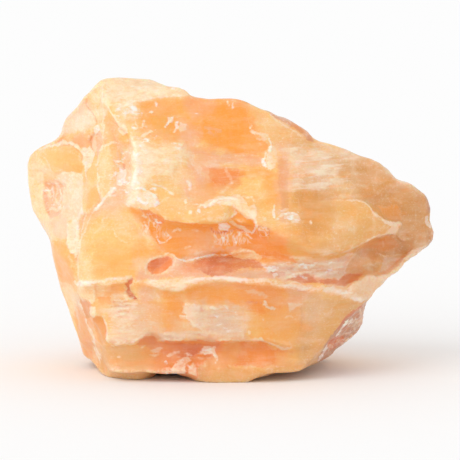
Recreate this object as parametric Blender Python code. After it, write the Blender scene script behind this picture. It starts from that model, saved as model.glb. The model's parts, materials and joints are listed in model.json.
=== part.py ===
"""A rough piece of orange calcite, standing on its own underside.

The stone is drawn as it is seen from the front and a little above. A drawn point is (across, down),
in drawing units, and a third number is its depth in millimetres, which grows towards the back.
The blank is the drawn outline met with the fracture faces. The ledges, hollows and lumps are then
worked into it, the faces get their cleavage steps, and the underside is cut where it rests.
"""

import math

import bmesh
import bpy
import numpy as np
from mathutils import Matrix, Vector, noise

# Driving dimensions, in metres
MM = 0.001
STONE_WIDTH = 102.5 * MM
STONE_DEPTH = 58.0 * MM
FRONT_FOOT = -24.0 * MM
VIEW_TILT = math.radians(8.0)

# The drawing: its width in units, its middle and its lowest line
DRAWN_WIDTH = 410.0
DRAWN_MIDDLE = 230.0
DRAWN_GROUND = 382.0
UNIT = STONE_WIDTH / DRAWN_WIDTH
SIGHT = (0.0, math.cos(VIEW_TILT), -math.sin(VIEW_TILT))

# How finely the stone is worked, and how many triangles it keeps
GRAIN = 0.7 * MM
SOFTENING = 0.5
BLANK_ROUNDS = 4
WORKED_ROUNDS = 1
TRIANGLES = 9500

# The outline, clockwise from the top left corner
OUTLINE = (
    (101, 81), (106, 79), (116, 78), (150, 79), (158, 82), (167, 87), (180, 88), (186, 92), (192, 97),
    (208, 99), (233, 98), (243, 100), (262, 109), (270, 111), (277, 117), (284, 118), (298, 126),
    (304, 129), (316, 142), (332, 145), (347, 149), (357, 155), (372, 158), (382, 163), (391, 172),
    (399, 180), (411, 182), (427, 195), (433, 209), (431, 219), (435, 231), (435, 241), (430, 247),
    (421, 250), (420, 254), (409, 259), (398, 273), (388, 277), (384, 284), (375, 291), (365, 305),
    (363, 324), (360, 333), (350, 340), (340, 348), (325, 360), (310, 366), (300, 372), (290, 375),
    (265, 374), (255, 375), (247, 380), (225, 383), (200, 380), (188, 373), (160, 373), (135, 378),
    (108, 378), (103, 375), (98, 368), (93, 362), (83, 360), (79, 345), (70, 315), (60, 290),
    (53, 262), (50, 240), (43, 228), (31, 210), (27, 185), (25, 166), (27, 156), (34, 149),
    (42, 144), (55, 140), (60, 135), (64, 120), (72, 112), (80, 104), (83, 98), (91, 91), (96, 85),
)

# The fracture faces, each through three drawn points with their depths
FACES = {
    "upper front": ((108, 100, -20), (250, 100, -15), (180, 205, -29)),
    "front shoulder": ((262, 110, -15.5), (262, 225, -28.4), (340, 222, -22)),
    "outer shoulder": ((320, 135, -11), (320, 225, -24.5), (400, 222, -12)),
    "right end front": ((396, 190, -10), (432, 212, -2), (418, 252, -5)),
    "great left face": ((124, 196, -30), (80, 262, -27.5), (150, 268, -31)),
    "front belly": ((160, 225, -30), (300, 235, -29), (220, 290, -30)),
    "lower front": ((110, 300, -28.5), (310, 290, -28.5), (200, 378, -25)),
    "lower middle front": ((262, 290, -28.7), (262, 370, -25.5), (330, 290, -24)),
    "lower right front": ((312, 250, -27.5), (317, 350, -23), (372, 285, -17)),
    "right foot": ((366, 303, -15), (317, 361, -17), (360, 334, -1)),
    "right underside": ((440, 250, 0), (364, 340, 0), (390, 246, 24)),
    "left flank": ((103, 100, -19.8), (90, 240, -26.5), (26, 172, -5)),
    "left waist": ((90, 222, -26), (78, 290, -26.5), (50, 236, -12)),
    "left foot": ((84, 284, -27), (106, 345, -26), (54, 266, -9)),
    "left heel": ((108, 374, -22), (82, 358, -13), (96, 340, -25)),
    "top band": ((107, 99, -21), (180, 96, -18.5), (140, 79, -11)),
    "top left back": ((100, 76, -5), (160, 78, -5), (130, 96, 18)),
    "top back": ((150, 78, -5), (262, 105, -5), (200, 118, 17)),
    "top right back": ((290, 118, -4), (412, 178, 1), (330, 186, 20)),
    "upper back": ((80, 150, 18), (290, 150, 15), (190, 215, 27)),
    "back": ((90, 250, 27), (300, 230, 26), (200, 330, 29)),
    "back left": ((28, 172, 7), (60, 300, 15), (100, 230, 27.5)),
    "back left crown": ((62, 126, 4), (100, 84, 0), (90, 160, 19)),
    "back right": ((434, 225, 5), (320, 200, 24), (350, 305, 19)),
    "back foot": ((100, 340, 26), (300, 340, 25), (200, 392, 19)),
    "back heel": ((84, 352, 6), (110, 384, 10), (96, 300, 24)),
}

# Corners broken off the blank: the way each break faces, and how deep it bites in mm
CHIPS = (
    ((0.72, 0.60, 0.30), 2.0), ((0.15, 0.80, 0.60), 2.5), ((-0.45, 0.80, 0.40), 3.0), ((-0.62, 0.78, 0.05), 2.0),
    ((0.55, 0.80, -0.15), 3.0), ((0.60, 0.72, -0.45), 2.5), ((0.20, 0.80, -0.55), 2.5), ((-0.60, 0.62, -0.50), 3.0),
    ((0.35, 0.80, 0.48), 2.0),
)

# Hollows and rises of the front. Each has how far in it goes in mm (out, where below 0), the width of its wall,
# its outline, and the two drawn points between which it fades out, or nothing where it is even.
RELIEF = {
    "side left of the ridge": (5.5, 6, (
        (84, 94), (97, 78), (103, 100), (106, 110), (113, 120), (126, 134), (133, 150), (130, 165), (133, 175),
        (127, 195), (125, 207), (110, 203), (98, 214), (84, 226), (60, 226), (20, 214), (10, 150), (56, 128)),
        ((80, 130), (86, 224))),
    "great left hollow": (3.2, 5, (
        (126, 207), (110, 203), (98, 214), (88, 228), (82, 242), (79, 262), (82, 281), (125, 279), (138, 275),
        (148, 266), (157, 257), (148, 240), (137, 222)), ((118, 205), (112, 276))),
    "hollow under the lip": (4.4, 5, (
        (127, 208), (150, 213), (165, 222), (200, 225), (231, 222), (257, 229), (272, 237), (304, 246),
        (312, 262), (262, 262), (200, 262), (158, 257), (148, 240), (137, 222)), ((200, 228), (160, 268))),
    "notch in the lip": (1.6, 4, (
        (229, 206), (238, 210), (246, 214), (257, 226), (251, 233), (240, 229), (229, 222)), None),
    "long hollow": (3.8, 6, (
        (178, 259), (222, 255), (262, 262), (295, 264), (330, 256), (352, 249), (375, 239), (396, 236),
        (412, 246), (400, 262), (388, 274), (364, 275), (347, 285), (330, 288), (300, 284), (262, 278),
        (212, 277), (190, 273)), ((270, 264), (268, 284))),
    "face behind the point": (2.2, 8, (
        (368, 200), (380, 216), (402, 226), (394, 235), (376, 240), (352, 250), (400, 264), (446, 258),
        (448, 190), (396, 186)), ((396, 226), (445, 214))),
    "lens under the scratches": (-1.0, 6, (
        (152, 178), (166, 189), (180, 196), (202, 204), (222, 204), (234, 210), (224, 222), (196, 224), (168, 221),
        (150, 212), (128, 207), (134, 190)), None),
    "cream shelf": (-0.8, 4, (
        (196, 200), (222, 196), (242, 199), (258, 210), (262, 226), (254, 232), (246, 216), (236, 210),
        (216, 204)), None),
    "cream face": (-0.7, 5, (
        (133, 152), (140, 144), (160, 140), (184, 142), (180, 160), (168, 176), (150, 178), (138, 196), (131, 190)), None),
    "pink dip": (0.8, 8, (
        (184, 150), (215, 154), (262, 152), (268, 170), (250, 186), (226, 194), (206, 186), (192, 170)), None),
    "rise of the shelf": (-1.5, 7, (
        (262, 228), (300, 222), (334, 205), (368, 203), (380, 217), (401, 225), (375, 237), (352, 247),
        (330, 254), (304, 258), (280, 244)), ((350, 246), (344, 206))),
    "window": (2.8, 4, ((149, 262), (158, 257), (169, 257), (173, 262), (168, 270), (156, 273), (149, 270)), None),
    "window rim": (-0.8, 5, ((142, 264), (154, 254), (172, 254), (182, 263), (176, 276), (146, 276)), None),
    "crack": (2.4, 3, ((130, 279), (134, 280), (131, 287), (138, 298), (133, 299), (126, 290), (126, 284)), None),
    "lower hollow": (3.8, 5, (
        (80, 346), (100, 344), (120, 344), (138, 345), (143, 338), (152, 334), (160, 341), (193, 340), (216, 342),
        (262, 341), (285, 348), (322, 351), (296, 366), (250, 374), (180, 376), (112, 372), (80, 372)),
        ((200, 346), (203, 374))),
    "vein ledge": (-1.2, 4, (
        (80, 280), (144, 280), (165, 281), (190, 277), (215, 275), (262, 277), (300, 283), (340, 290),
        (368, 298), (366, 306), (335, 298), (300, 292), (258, 286), (215, 283), (196, 288), (180, 293),
        (166, 292), (150, 286), (80, 288)), None),
    "right end of the ledge": (-1.4, 6, ((352, 280), (366, 274), (394, 273), (384, 288), (366, 304), (346, 292)), None),
    "stepped corner": (2.0, 6, (
        (86, 286), (128, 283), (124, 296), (132, 312), (126, 322), (134, 334), (108, 337), (100, 318), (88, 302)),
        ((104, 290), (124, 336))),
    "pocket by the heel": (2.2, 5, (
        (92, 317), (98, 315), (105, 322), (108, 334), (106, 342), (98, 344), (93, 332)), None),
    "groove of the heel": (1.6, 5, ((84, 300), (89, 302), (93, 330), (97, 356), (92, 356), (86, 330)), None),
    "frosted step": (-0.8, 5, (
        (184, 304), (206, 304), (246, 303), (262, 312), (250, 336), (222, 341), (194, 334), (186, 320)),
        ((190, 334), (240, 304))),
    "great left lobe": (-3.0, 9, (
        (24, 154), (45, 146), (70, 147), (81, 156), (85, 166), (81, 174), (62, 172), (46, 170), (24, 172)), None),
    "hollow under the lobe": (2.4, 7, ((40, 180), (60, 178), (66, 196), (62, 218), (46, 212)), None),
    "crown lobe": (-2.6, 9, ((60, 122), (74, 108), (86, 104), (94, 120), (97, 130), (90, 142), (72, 142), (60, 138)), None),
    "crown face": (-1.6, 5, (
        (86, 96), (98, 82), (103, 100), (107, 112), (122, 129), (133, 150), (120, 147), (104, 150), (98, 131),
        (95, 120), (90, 108)), ((108, 120), (128, 150))),
    "groove by the crown": (2.2, 5, ((92, 140), (97, 130), (103, 142), (98, 156), (92, 152)), None),
    "rib": (-1.9, 6, ((99, 154), (110, 146), (118, 158), (113, 186), (104, 206), (98, 188)), None),
    "groove by the rib": (2.6, 5, ((118, 148), (126, 150), (131, 172), (124, 190), (115, 198), (119, 172)), None),
    "left column": (-1.4, 6, ((85, 162), (97, 160), (99, 190), (92, 214), (84, 214), (84, 190)), None),
    "groove under the flank": (2.0, 5, ((76, 224), (92, 211), (84, 238), (80, 264), (76, 264), (73, 244)), None),
    "waist lobe": (-1.6, 8, ((50, 238), (64, 236), (67, 250), (76, 258), (78, 278), (56, 276)), None),
}

# How far the drawn edges stray, in drawing units, and the size of each bend in mm
RAGGED = (3.4, 3.6)

# The same hollows for the back, where each goes towards the front
BACK_RELIEF = {
    "slab broken off the top": (5.0, 7, (
        (160, 60), (250, 80), (330, 120), (400, 160), (380, 186), (330, 178), (300, 190), (262, 180),
        (230, 188), (190, 168), (150, 150), (140, 110)), ((250, 176), (240, 110))),
    "long ledge": (3.6, 6, (
        (20, 232), (90, 238), (150, 230), (200, 240), (262, 232), (330, 240), (400, 230), (400, 262),
        (330, 262), (250, 268), (190, 262), (130, 270), (60, 262), (20, 262)), ((200, 238), (202, 268))),
    "broken corner": (5.0, 6, (
        (20, 140), (70, 130), (104, 150), (96, 172), (112, 196), (96, 216), (60, 210), (20, 214)),
        ((100, 180), (40, 172))),
    "lower step": (3.2, 6, (
        (170, 318), (220, 312), (260, 320), (312, 312), (380, 318), (380, 400), (150, 400), (160, 350)),
        ((220, 320), (224, 372))),
    "scoop": (3.0, 14, ((200, 200), (240, 190), (270, 204), (262, 226), (222, 228), (198, 218)), None),
    "heel scoop": (2.6, 12, ((84, 300), (120, 290), (146, 306), (140, 340), (104, 348), (84, 330)), None),
}

# Beds that run round the sides, as heights in mm, how far they step in and how high the step is
BEDS = ((9.5, 0.7, 3.0), (24.5, -0.8, 3.5), (30.0, 1.0, 4.5), (44.0, -0.6, 5.0), (55.0, 0.8, 4.0))
BED_DIP = (0.05, -0.10)

# Cleavage: the way each set of planes faces, the height of its steps in mm, and how strongly it shows
CLEAVAGE = (((0.10, -0.14, 0.98), 2.8, 0.8), ((0.30, -0.94, 0.16), 3.4, 0.6), ((0.92, 0.34, 0.22), 3.0, 0.8))
CLEAVAGE_WANDER = (1.6, 14.0)
CLEAVAGE_AT_FRONT = 0.25

# Size in mm and height in mm of the uneven break of every face, coarse to fine
FRACTURE = ((24.0, 1.0), (10.0, 0.5), (4.5, 0.2))
ROUGH_AT_RIM = 0.3

# Where the underside comes down to the ground: across, and the depth and the radius in mm
FEET = ((112, -13, 11), (222, -19, 12), (150, 13, 15), (286, 4, 13))
FOOT_RAGGED = (13.0, 11.0)
UNDERSIDE_ARCH = 2.4 * MM
UNDERSIDE_REACH = 7.0 * MM
FOOT_DROP = 0.8 * MM

CALCITE = {"colour": (0.93, 0.55, 0.25, 1.0), "roughness": 0.32, "metallic": 0.0}


def placed(across, down, depth):
    """The point in space of a drawn point, with its depth in mm."""
    y = depth * MM
    rise = (DRAWN_GROUND - down) * UNIT
    z = (rise - (y - FRONT_FOOT) * math.sin(VIEW_TILT)) / math.cos(VIEW_TILT)
    return Vector(((across - DRAWN_MIDDLE) * UNIT, y, z))


def drawn(points):
    """Where an array of points in space lies in the drawing, as (across, down)."""
    across = points[:, 0] / UNIT + DRAWN_MIDDLE
    rise = points[:, 2] * math.cos(VIEW_TILT) + (points[:, 1] - FRONT_FOOT) * math.sin(VIEW_TILT)
    return np.stack([across, DRAWN_GROUND - rise / UNIT], axis=1)


def smooth(value, low, high):
    """0 below low, 1 above high, and a smooth step between."""
    t = np.clip((value - low) / (high - low), 0.0, 1.0)
    return t * t * (3.0 - 2.0 * t)


def depth_inside(places, outline):
    """How far each drawn place lies inside a closed outline, in drawing units, and below 0 outside it."""
    ends = np.array(outline, float)
    starts = np.roll(ends, 1, axis=0)
    nearest = np.full(len(places), 1e9)
    inside = np.zeros(len(places), bool)
    for a, b in zip(starts, ends):
        along = b - a
        share = np.clip((places - a) @ along / (along @ along), 0.0, 1.0)
        nearest = np.minimum(nearest, np.linalg.norm(places - a - share[:, None] * along, axis=1))
        crosses = (a[1] > places[:, 1]) != (b[1] > places[:, 1])
        if a[1] != b[1]:
            at = a[0] + (places[:, 1] - a[1]) * along[0] / along[1]
            inside ^= crosses & (places[:, 0] < at)
    return np.where(inside, nearest, -nearest)


def wander(points, size, offset=0.0):
    """Smooth noise from -1 to 1 at each point, with features of the given size in metres."""
    shift = Vector((offset, offset, offset))
    return np.array([noise.noise(Vector(p) / size + shift) for p in points])


def new_object(name, mesh):
    """Links a new object that holds the mesh."""
    made = bpy.data.objects.new(name, mesh)
    bpy.context.scene.collection.objects.link(made)
    return made


def mesh_of(name, bm):
    """Turns a bmesh into a mesh with its faces pointing out."""
    bmesh.ops.recalc_face_normals(bm, faces=bm.faces)
    mesh = bpy.data.meshes.new(name)
    bm.to_mesh(mesh)
    bm.free()
    return mesh


def outline_block():
    """The drawn outline, run through the stone along the line of sight."""
    bm = bmesh.new()
    reach = 0.75 * STONE_DEPTH / MM
    rim = [bm.verts.new(placed(across, down, -reach)) for across, down in OUTLINE]
    front = bm.faces.new(rim)
    sight = placed(0, 0, reach) - placed(0, 0, -reach)
    moved = bmesh.ops.extrude_face_region(bm, geom=[front])["geom"]
    bmesh.ops.translate(bm, vec=sight, verts=[v for v in moved if isinstance(v, bmesh.types.BMVert)])
    return mesh_of("outline_block", bm)


def keep_behind(bm, corner, way):
    """Cuts the solid with a plane and keeps what lies behind it."""
    cut = bmesh.ops.bisect_plane(
        bm, geom=bm.verts[:] + bm.edges[:] + bm.faces[:], plane_co=corner, plane_no=way, clear_outer=True
    )
    edges = [e for e in cut["geom_cut"] if isinstance(e, bmesh.types.BMEdge)]
    bmesh.ops.contextual_create(bm, geom=edges)


def faceted_blank():
    """A block cut by every fracture face, so that only the stone's side of each is left, with its corners chipped."""
    bm = bmesh.new()
    bmesh.ops.create_cube(bm, size=4.0 * STONE_WIDTH)
    heart = placed(DRAWN_MIDDLE, 240, 0)
    for a, b, c in FACES.values():
        corner = placed(*a)
        way = (placed(*b) - corner).cross(placed(*c) - corner).normalized()
        keep_behind(bm, corner, way if way.dot(heart - corner) < 0 else -way)
    for direction, bite in CHIPS:
        way = Vector(direction).normalized()
        peak = max(v.co.dot(way) for v in bm.verts)
        keep_behind(bm, way * (peak - bite * MM), way)
    return mesh_of("faceted_blank", bm)


def apply_modifiers(stone):
    """Keeps what the object's modifiers make of it as its own mesh."""
    graph = bpy.context.evaluated_depsgraph_get()
    made = bpy.data.meshes.new_from_object(stone.evaluated_get(graph))
    stone.modifiers.clear()
    stone.data = made


def even_skin(stone, rounds):
    """Gives the stone an even skin of small faces, softened for a number of rounds."""
    skin = stone.modifiers.new("skin", "REMESH")
    skin.mode = "VOXEL"
    skin.voxel_size = GRAIN
    soft = stone.modifiers.new("soft", "SMOOTH")
    soft.factor = SOFTENING
    soft.iterations = rounds
    apply_modifiers(stone)


def rough_stone():
    """The outline met with the fracture faces."""
    stone = new_object("calcite", outline_block())
    blank = new_object("faceted_blank", faceted_blank())
    blank.hide_render = True
    blank.display_type = "WIRE"
    meet = stone.modifiers.new("meet", "BOOLEAN")
    meet.operation = "INTERSECT"
    meet.solver = "EXACT"
    meet.object = blank
    even_skin(stone, BLANK_ROUNDS)
    return stone


def points_and_normals(mesh):
    """The mesh's vertices and their normals, as two arrays."""
    points = np.empty(len(mesh.vertices) * 3, np.float32)
    mesh.vertices.foreach_get("co", points)
    normals = np.empty(len(mesh.vertices) * 3, np.float32)
    mesh.vertex_normals.foreach_get("vector", normals)
    return points.reshape(-1, 3).astype(float), normals.reshape(-1, 3).astype(float)


def relief_push(points, relief):
    """How far the drawn hollows and rises move each point, in metres."""
    reach, size = RAGGED
    stray = np.stack([wander(points, size * MM, 31.0), wander(points, size * MM, 47.0)], axis=1)
    places = drawn(points) + reach * stray
    push = np.zeros(len(points))
    for depth, wall, outline, fade in relief.values():
        share = smooth(depth_inside(places, outline), -0.5 * wall, 0.5 * wall)
        if fade:
            start, end = np.array(fade, float)
            along = end - start
            share *= 1.0 - smooth((places - start) @ along / (along @ along), 0.0, 1.0)
        push += depth * MM * share
    return push


def bed_push(points, normals):
    """How far the beds step in round the sides and the back, in metres."""
    side = smooth(normals[:, 1], -0.25, 0.15) * (1.0 - smooth(np.abs(normals[:, 2]), 0.5, 0.85))
    lift = points[:, 2] + BED_DIP[0] * points[:, 0] + BED_DIP[1] * points[:, 1]
    lift += 2.2 * MM * wander(points, 20 * MM)
    there = smooth(wander(points, 26 * MM, 7.0), -0.15, 0.2)
    push = np.zeros(len(points))
    for height, step, rise in BEDS:
        above = smooth(lift, height * MM, (height + 0.8) * MM)
        ends = smooth(lift, (height + rise) * MM, (height + rise + 3.0) * MM)
        push += step * MM * (above - ends)
    return push * side * there


def cleavage_shift(points, normals, front):
    """How far each point moves onto the steps of the cleavage planes, in metres."""
    shift = np.zeros_like(points)
    reach, size = CLEAVAGE_WANDER
    for k, (direction, step, strength) in enumerate(CLEAVAGE):
        way = np.array(Vector(direction).normalized())
        level = (points @ way + reach * MM * wander(points, size * MM, 3.0 * k)) / (step * MM)
        share = level - np.floor(level)
        flat = np.floor(level) + smooth(share, 0.38, 0.62) - level
        faces = smooth(np.abs(normals @ way), 0.55, 0.95)
        there = smooth(wander(points, 17 * MM, 11.0 + k), -0.25, 0.25)
        amount = strength * faces * there * (1.0 - (1.0 - CLEAVAGE_AT_FRONT) * front)
        shift += (flat * step * MM * amount)[:, None] * way
    return shift


def fracture_push(points):
    """The uneven break of every face, in metres."""
    push = np.zeros(len(points))
    for k, (size, height) in enumerate(FRACTURE):
        push += height * MM * wander(points, size * MM, 5.0 + k)
    return push


def arch_underside(points, normals):
    """Hollows the underside a little, but for the feet that it stands on."""
    down = smooth(-normals[:, 2], 0.2, 0.6) * (1.0 - smooth(points[:, 2], 0.0, UNDERSIDE_REACH))
    reach, size = FOOT_RAGGED
    ragged = reach * MM * wander(points, size * MM, 21.0)
    foot = np.zeros(len(points))
    for across, depth, radius in FEET:
        x, y = (across - DRAWN_MIDDLE) * UNIT, depth * MM
        distance = np.hypot(points[:, 0] - x, points[:, 1] - y) + ragged
        foot = np.maximum(foot, 1.0 - smooth(distance, 0.45 * radius * MM, 1.1 * radius * MM))
    hollow = np.maximum(UNDERSIDE_ARCH - points[:, 2], 0.0)
    return down * (1.0 - foot) * hollow - down * foot * FOOT_DROP


def worked(stone):
    """Works the ledges, beds and breaks into the stone's skin."""
    points, normals = points_and_normals(stone.data)
    sight = np.array(SIGHT)
    facing = -(normals @ sight)
    front = smooth(facing, 0.05, 0.4)
    back = smooth(-facing, 0.05, 0.4)
    along = relief_push(points, RELIEF) * front - relief_push(points, BACK_RELIEF) * back
    rim = 1.0 - (1.0 - ROUGH_AT_RIM) * (1.0 - smooth(np.abs(facing), 0.1, 0.45))
    inwards = (bed_push(points, normals) + fracture_push(points)) * rim
    steps = cleavage_shift(points, normals, front) * rim[:, None]
    lift = arch_underside(points, normals)
    points += along[:, None] * sight - inwards[:, None] * normals + steps
    points[:, 2] += lift
    stone.data.vertices.foreach_set("co", points.astype(np.float32).ravel())
    stone.data.update()
    even_skin(stone, WORKED_ROUNDS)


def thinned(stone):
    """Keeps only the triangles that the shape needs."""
    thin = stone.modifiers.new("thin", "DECIMATE")
    thin.ratio = TRIANGLES / (2.0 * len(stone.data.polygons))
    thin.use_collapse_triangulate = True
    apply_modifiers(stone)


def rest_on_ground(stone):
    """Cuts the feet off flat where the stone rests."""
    bm = bmesh.new()
    bm.from_mesh(stone.data)
    cut = bmesh.ops.bisect_plane(
        bm, geom=bm.verts[:] + bm.edges[:] + bm.faces[:], plane_co=(0, 0, 0), plane_no=(0, 0, -1), clear_outer=True
    )
    edges = [e for e in cut["geom_cut"] if isinstance(e, bmesh.types.BMEdge)]
    bmesh.ops.triangle_fill(bm, edges=edges, use_beauty=True, normal=(0, 0, -1))
    bmesh.ops.recalc_face_normals(bm, faces=bm.faces)
    bm.to_mesh(stone.data)
    bm.free()


def centre_on_origin(stone):
    """Puts the middle of the stone's footprint on the origin, and prints how far it moved."""
    corners = np.array([corner[:] for corner in stone.bound_box])
    middle = 0.5 * (corners.min(axis=0) + corners.max(axis=0))
    stone.data.transform(Matrix.Translation((-middle[0], -middle[1], 0.0)))
    print("moved by, in mm:", (-middle[:2] / MM).round(3))


def calcite_material():
    """Waxy orange calcite."""
    material = bpy.data.materials.new("calcite")
    material.use_nodes = True
    shader = material.node_tree.nodes["Principled BSDF"]
    shader.inputs["Base Color"].default_value = CALCITE["colour"]
    shader.inputs["Roughness"].default_value = CALCITE["roughness"]
    shader.inputs["Metallic"].default_value = CALCITE["metallic"]
    material.diffuse_color = CALCITE["colour"]
    return material


def main():
    """Builds the stone, from the blank to the cut underside."""
    for old in list(bpy.data.objects):
        bpy.data.objects.remove(old)
    stone = rough_stone()
    worked(stone)
    thinned(stone)
    rest_on_ground(stone)
    centre_on_origin(stone)
    stone.data.materials.append(calcite_material())


main()
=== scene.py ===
"""A rough piece of orange calcite, dressed for a picture on a pale studio floor.

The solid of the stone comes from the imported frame. A finer skin is made from a copy of it. The skin gets
its small ledges, steps and grooves, and the colour zones are laid on it as masks that its material reads.
The zones are drawn as the stone is seen from the front: a drawn point is (across, down), in drawing units.
"""

import json
import logging
import math
from dataclasses import dataclass, field
from enum import Enum

import bpy
import numpy as np
from mathutils import Euler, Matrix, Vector, noise

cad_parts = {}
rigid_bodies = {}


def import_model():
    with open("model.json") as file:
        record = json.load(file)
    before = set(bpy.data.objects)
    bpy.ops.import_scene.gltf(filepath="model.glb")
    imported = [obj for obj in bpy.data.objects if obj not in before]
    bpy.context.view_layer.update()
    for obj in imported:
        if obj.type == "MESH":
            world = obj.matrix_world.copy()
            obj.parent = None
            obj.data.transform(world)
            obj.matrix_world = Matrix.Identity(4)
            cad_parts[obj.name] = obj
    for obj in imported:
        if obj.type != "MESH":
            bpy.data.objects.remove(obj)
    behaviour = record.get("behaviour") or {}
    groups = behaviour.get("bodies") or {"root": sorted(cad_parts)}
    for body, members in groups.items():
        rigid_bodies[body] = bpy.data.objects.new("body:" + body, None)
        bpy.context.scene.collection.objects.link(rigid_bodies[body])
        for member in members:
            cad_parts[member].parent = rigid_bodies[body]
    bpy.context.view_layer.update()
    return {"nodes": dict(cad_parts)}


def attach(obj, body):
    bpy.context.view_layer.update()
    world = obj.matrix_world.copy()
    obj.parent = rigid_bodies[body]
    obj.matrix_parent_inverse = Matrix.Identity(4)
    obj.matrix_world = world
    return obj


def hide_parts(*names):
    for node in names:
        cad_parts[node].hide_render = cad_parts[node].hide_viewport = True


MM = 0.001
NODE = "calcite"

log = logging.getLogger("calcite")

Point = tuple[float, float]
Outline = tuple[Point, ...]
Row = tuple[float | Point, ...]
Colour = tuple[float, float, float]
Window = tuple[float, float]
Socket = bpy.types.NodeSocket


class Tone(Enum):
    """The colours of the stone, by the name that their masks bear."""

    SAND = "sand"
    TAN = "tan"
    GOLD = "gold"
    AMBER = "amber"
    ORANGE = "orange"
    DEEP = "deep"
    RUST = "rust"
    PINK = "pink"
    BEIGE = "beige"
    BUTTER = "butter"
    CREAM = "cream"
    FROST = "frost"
    BROWN = "brown"
    OCHRE = "ochre"
    COPPER = "copper"
    UMBER = "umber"
    SHELL = "shell"


class Mark(Enum):
    """The masks that aren't a tone's."""

    CHIPPED = "chipped"
    SCRATCHED = "scratched"
    LAYERED = "layered"
    # A painted highlight on the convex edges
    EDGE = "edge"
    # A painted shade in the creases and hollows
    HOLLOW_SHADE = "hollow"
    # Painted shade on the lower and right stretches of the front, and darker patches of stone on the far
    # sides
    SHADE_AND_DARK_PATCHES = "dusky"
    VEINED = "veined"


class Shift(Enum):
    """How far each use of the noise is moved, so that no two uses agree."""

    ACROSS = 1.0
    DOWN = 9.0
    STEPS = 17.0
    SWELL = 23.0
    VEIN = 30.0
    CHIPS = 33.0
    FINE_LAYERS = 36.0
    SCRATCHES = 39.0
    CRUMBS = 41.0
    DUSK = 44.0
    SEAM = 51.0


@dataclass(frozen=True)
class Drawing:
    """The front view that the zones are drawn in.

    The drawing is seen from a little above, so height and depth both show in it.
    """

    unit: float = 0.25 * MM
    middle: float = 230.0
    ground: float = 382.0
    front_foot: float = -22.916 * MM
    tilt: float = math.radians(8.0)

    def places(self, points: np.ndarray) -> np.ndarray:
        """Where points in space lie in the drawing.

        Args:
            points: an array of points, in metres.

        Returns:
            An array of (across, down) pairs, in drawing units.
        """
        rise = points[:, 2] * math.cos(self.tilt) + (points[:, 1] - self.front_foot) * math.sin(self.tilt)
        return np.stack([points[:, 0] / self.unit + self.middle, self.ground - rise / self.unit], axis=1)

    def point(self, across: float, down: float, depth: float) -> Vector:
        """The point in space of a drawn point.

        Args:
            across: how far across the drawing.
            down: how far down the drawing.
            depth: the depth in metres, growing towards the back.

        Returns:
            The point, in metres.
        """
        rise = (self.ground - down) * self.unit
        height = (rise - (depth - self.front_foot) * math.sin(self.tilt)) / math.cos(self.tilt)
        return Vector(((across - self.middle) * self.unit, depth, height))

    def sight(self) -> np.ndarray:
        """The way the viewer looks, as a unit vector."""
        return np.array([0.0, math.cos(self.tilt), -math.sin(self.tilt)])


@dataclass(frozen=True)
class Shape:
    """A stretch drawn on the front.

    Its soft width and a line's width are in drawing units, its lift of the surface is in millimetres.
    """

    points: Outline
    soft: float = 2.0
    strength: float = 1.0
    lift: float = 0.0
    fade: Outline = field(default=(), kw_only=True)

    def inside(self, places: np.ndarray) -> np.ndarray:
        """How far inside the shape each drawn place lies, below 0 outside it."""
        return depth_inside(places, self.points)

    def presence(self, places: np.ndarray) -> np.ndarray:
        """How much of the shape shows at each drawn place.

        Args:
            places: an array of drawn places.

        Returns:
            1 up to the fade's first point, and less from there on, down to 0 at its last.
        """
        if not self.fade:
            return np.ones(len(places))
        start, end = np.array(self.fade, float)
        along = end - start
        return 1.0 - smooth((places - start) @ along / (along @ along), 0.0, 1.0)


@dataclass(frozen=True)
class Line(Shape):
    """A thin stretch along a drawn course: a vein, a rim, a crack or a groove."""

    WAVES = ((0.41, 0.23, 0.0), (0.87, -0.52, 1.3))
    SWELL = 0.22
    TIP_WIDTH = 0.4
    TIP_LENGTH = 0.3

    width: float = 2.0

    def inside(self, places: np.ndarray) -> np.ndarray:
        """How far inside the line each drawn place lies. The line swells, thins and tapers to its ends.

        Args:
            places: an array of drawn places.

        Returns:
            The distance to the line's outline in drawing units, below 0 outside it.
        """
        away, middle = distance_to_course(places, self.points)
        across, down = places[:, 0], places[:, 1]
        swell = sum(np.sin(fast * across + steep * down + start) for fast, steep, start in self.WAVES)
        taper = self.TIP_WIDTH + (1.0 - self.TIP_WIDTH) * smooth(middle, 0.0, self.TIP_LENGTH)
        return 0.5 * self.width * taper * (1.0 + self.SWELL * swell) - away


def areas(*rows: Row) -> list[Shape]:
    """Stretches that leave the surface as it is.

    Args:
        rows: for each its soft width, its strength and its outline's points.

    Returns:
        The shapes.
    """
    return [Shape(tuple(points), soft, strength) for soft, strength, *points in rows]


def patches(*rows: Row) -> list[Shape]:
    """Stretches that may rise or sink.

    Args:
        rows: for each its soft width, its strength, its lift and its outline's points.

    Returns:
        The shapes.
    """
    return [Shape(tuple(points), soft, strength, lift) for soft, strength, lift, *points in rows]


def faded(*rows: Row) -> list[Shape]:
    """Stretches that fade away to one side.

    Args:
        rows: for each its soft width, its strength, its lift, the two points from which and to which it
            fades, and its outline's points.

    Returns:
        The shapes.
    """
    return [
        Shape(tuple(points), soft, strength, lift, fade=(start, end))
        for soft, strength, lift, start, end, *points in rows
    ]


def lines(*rows: Row, soft: float = 1.5) -> list[Shape]:
    """Thin stretches of one softness.

    Args:
        rows: for each its strength, its lift, its width and its course's points.
        soft: their soft width.

    Returns:
        The lines.
    """
    return [Line(tuple(points), soft, strength, lift, width) for strength, lift, width, *points in rows]


# A short name for the tables
T = Tone

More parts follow.
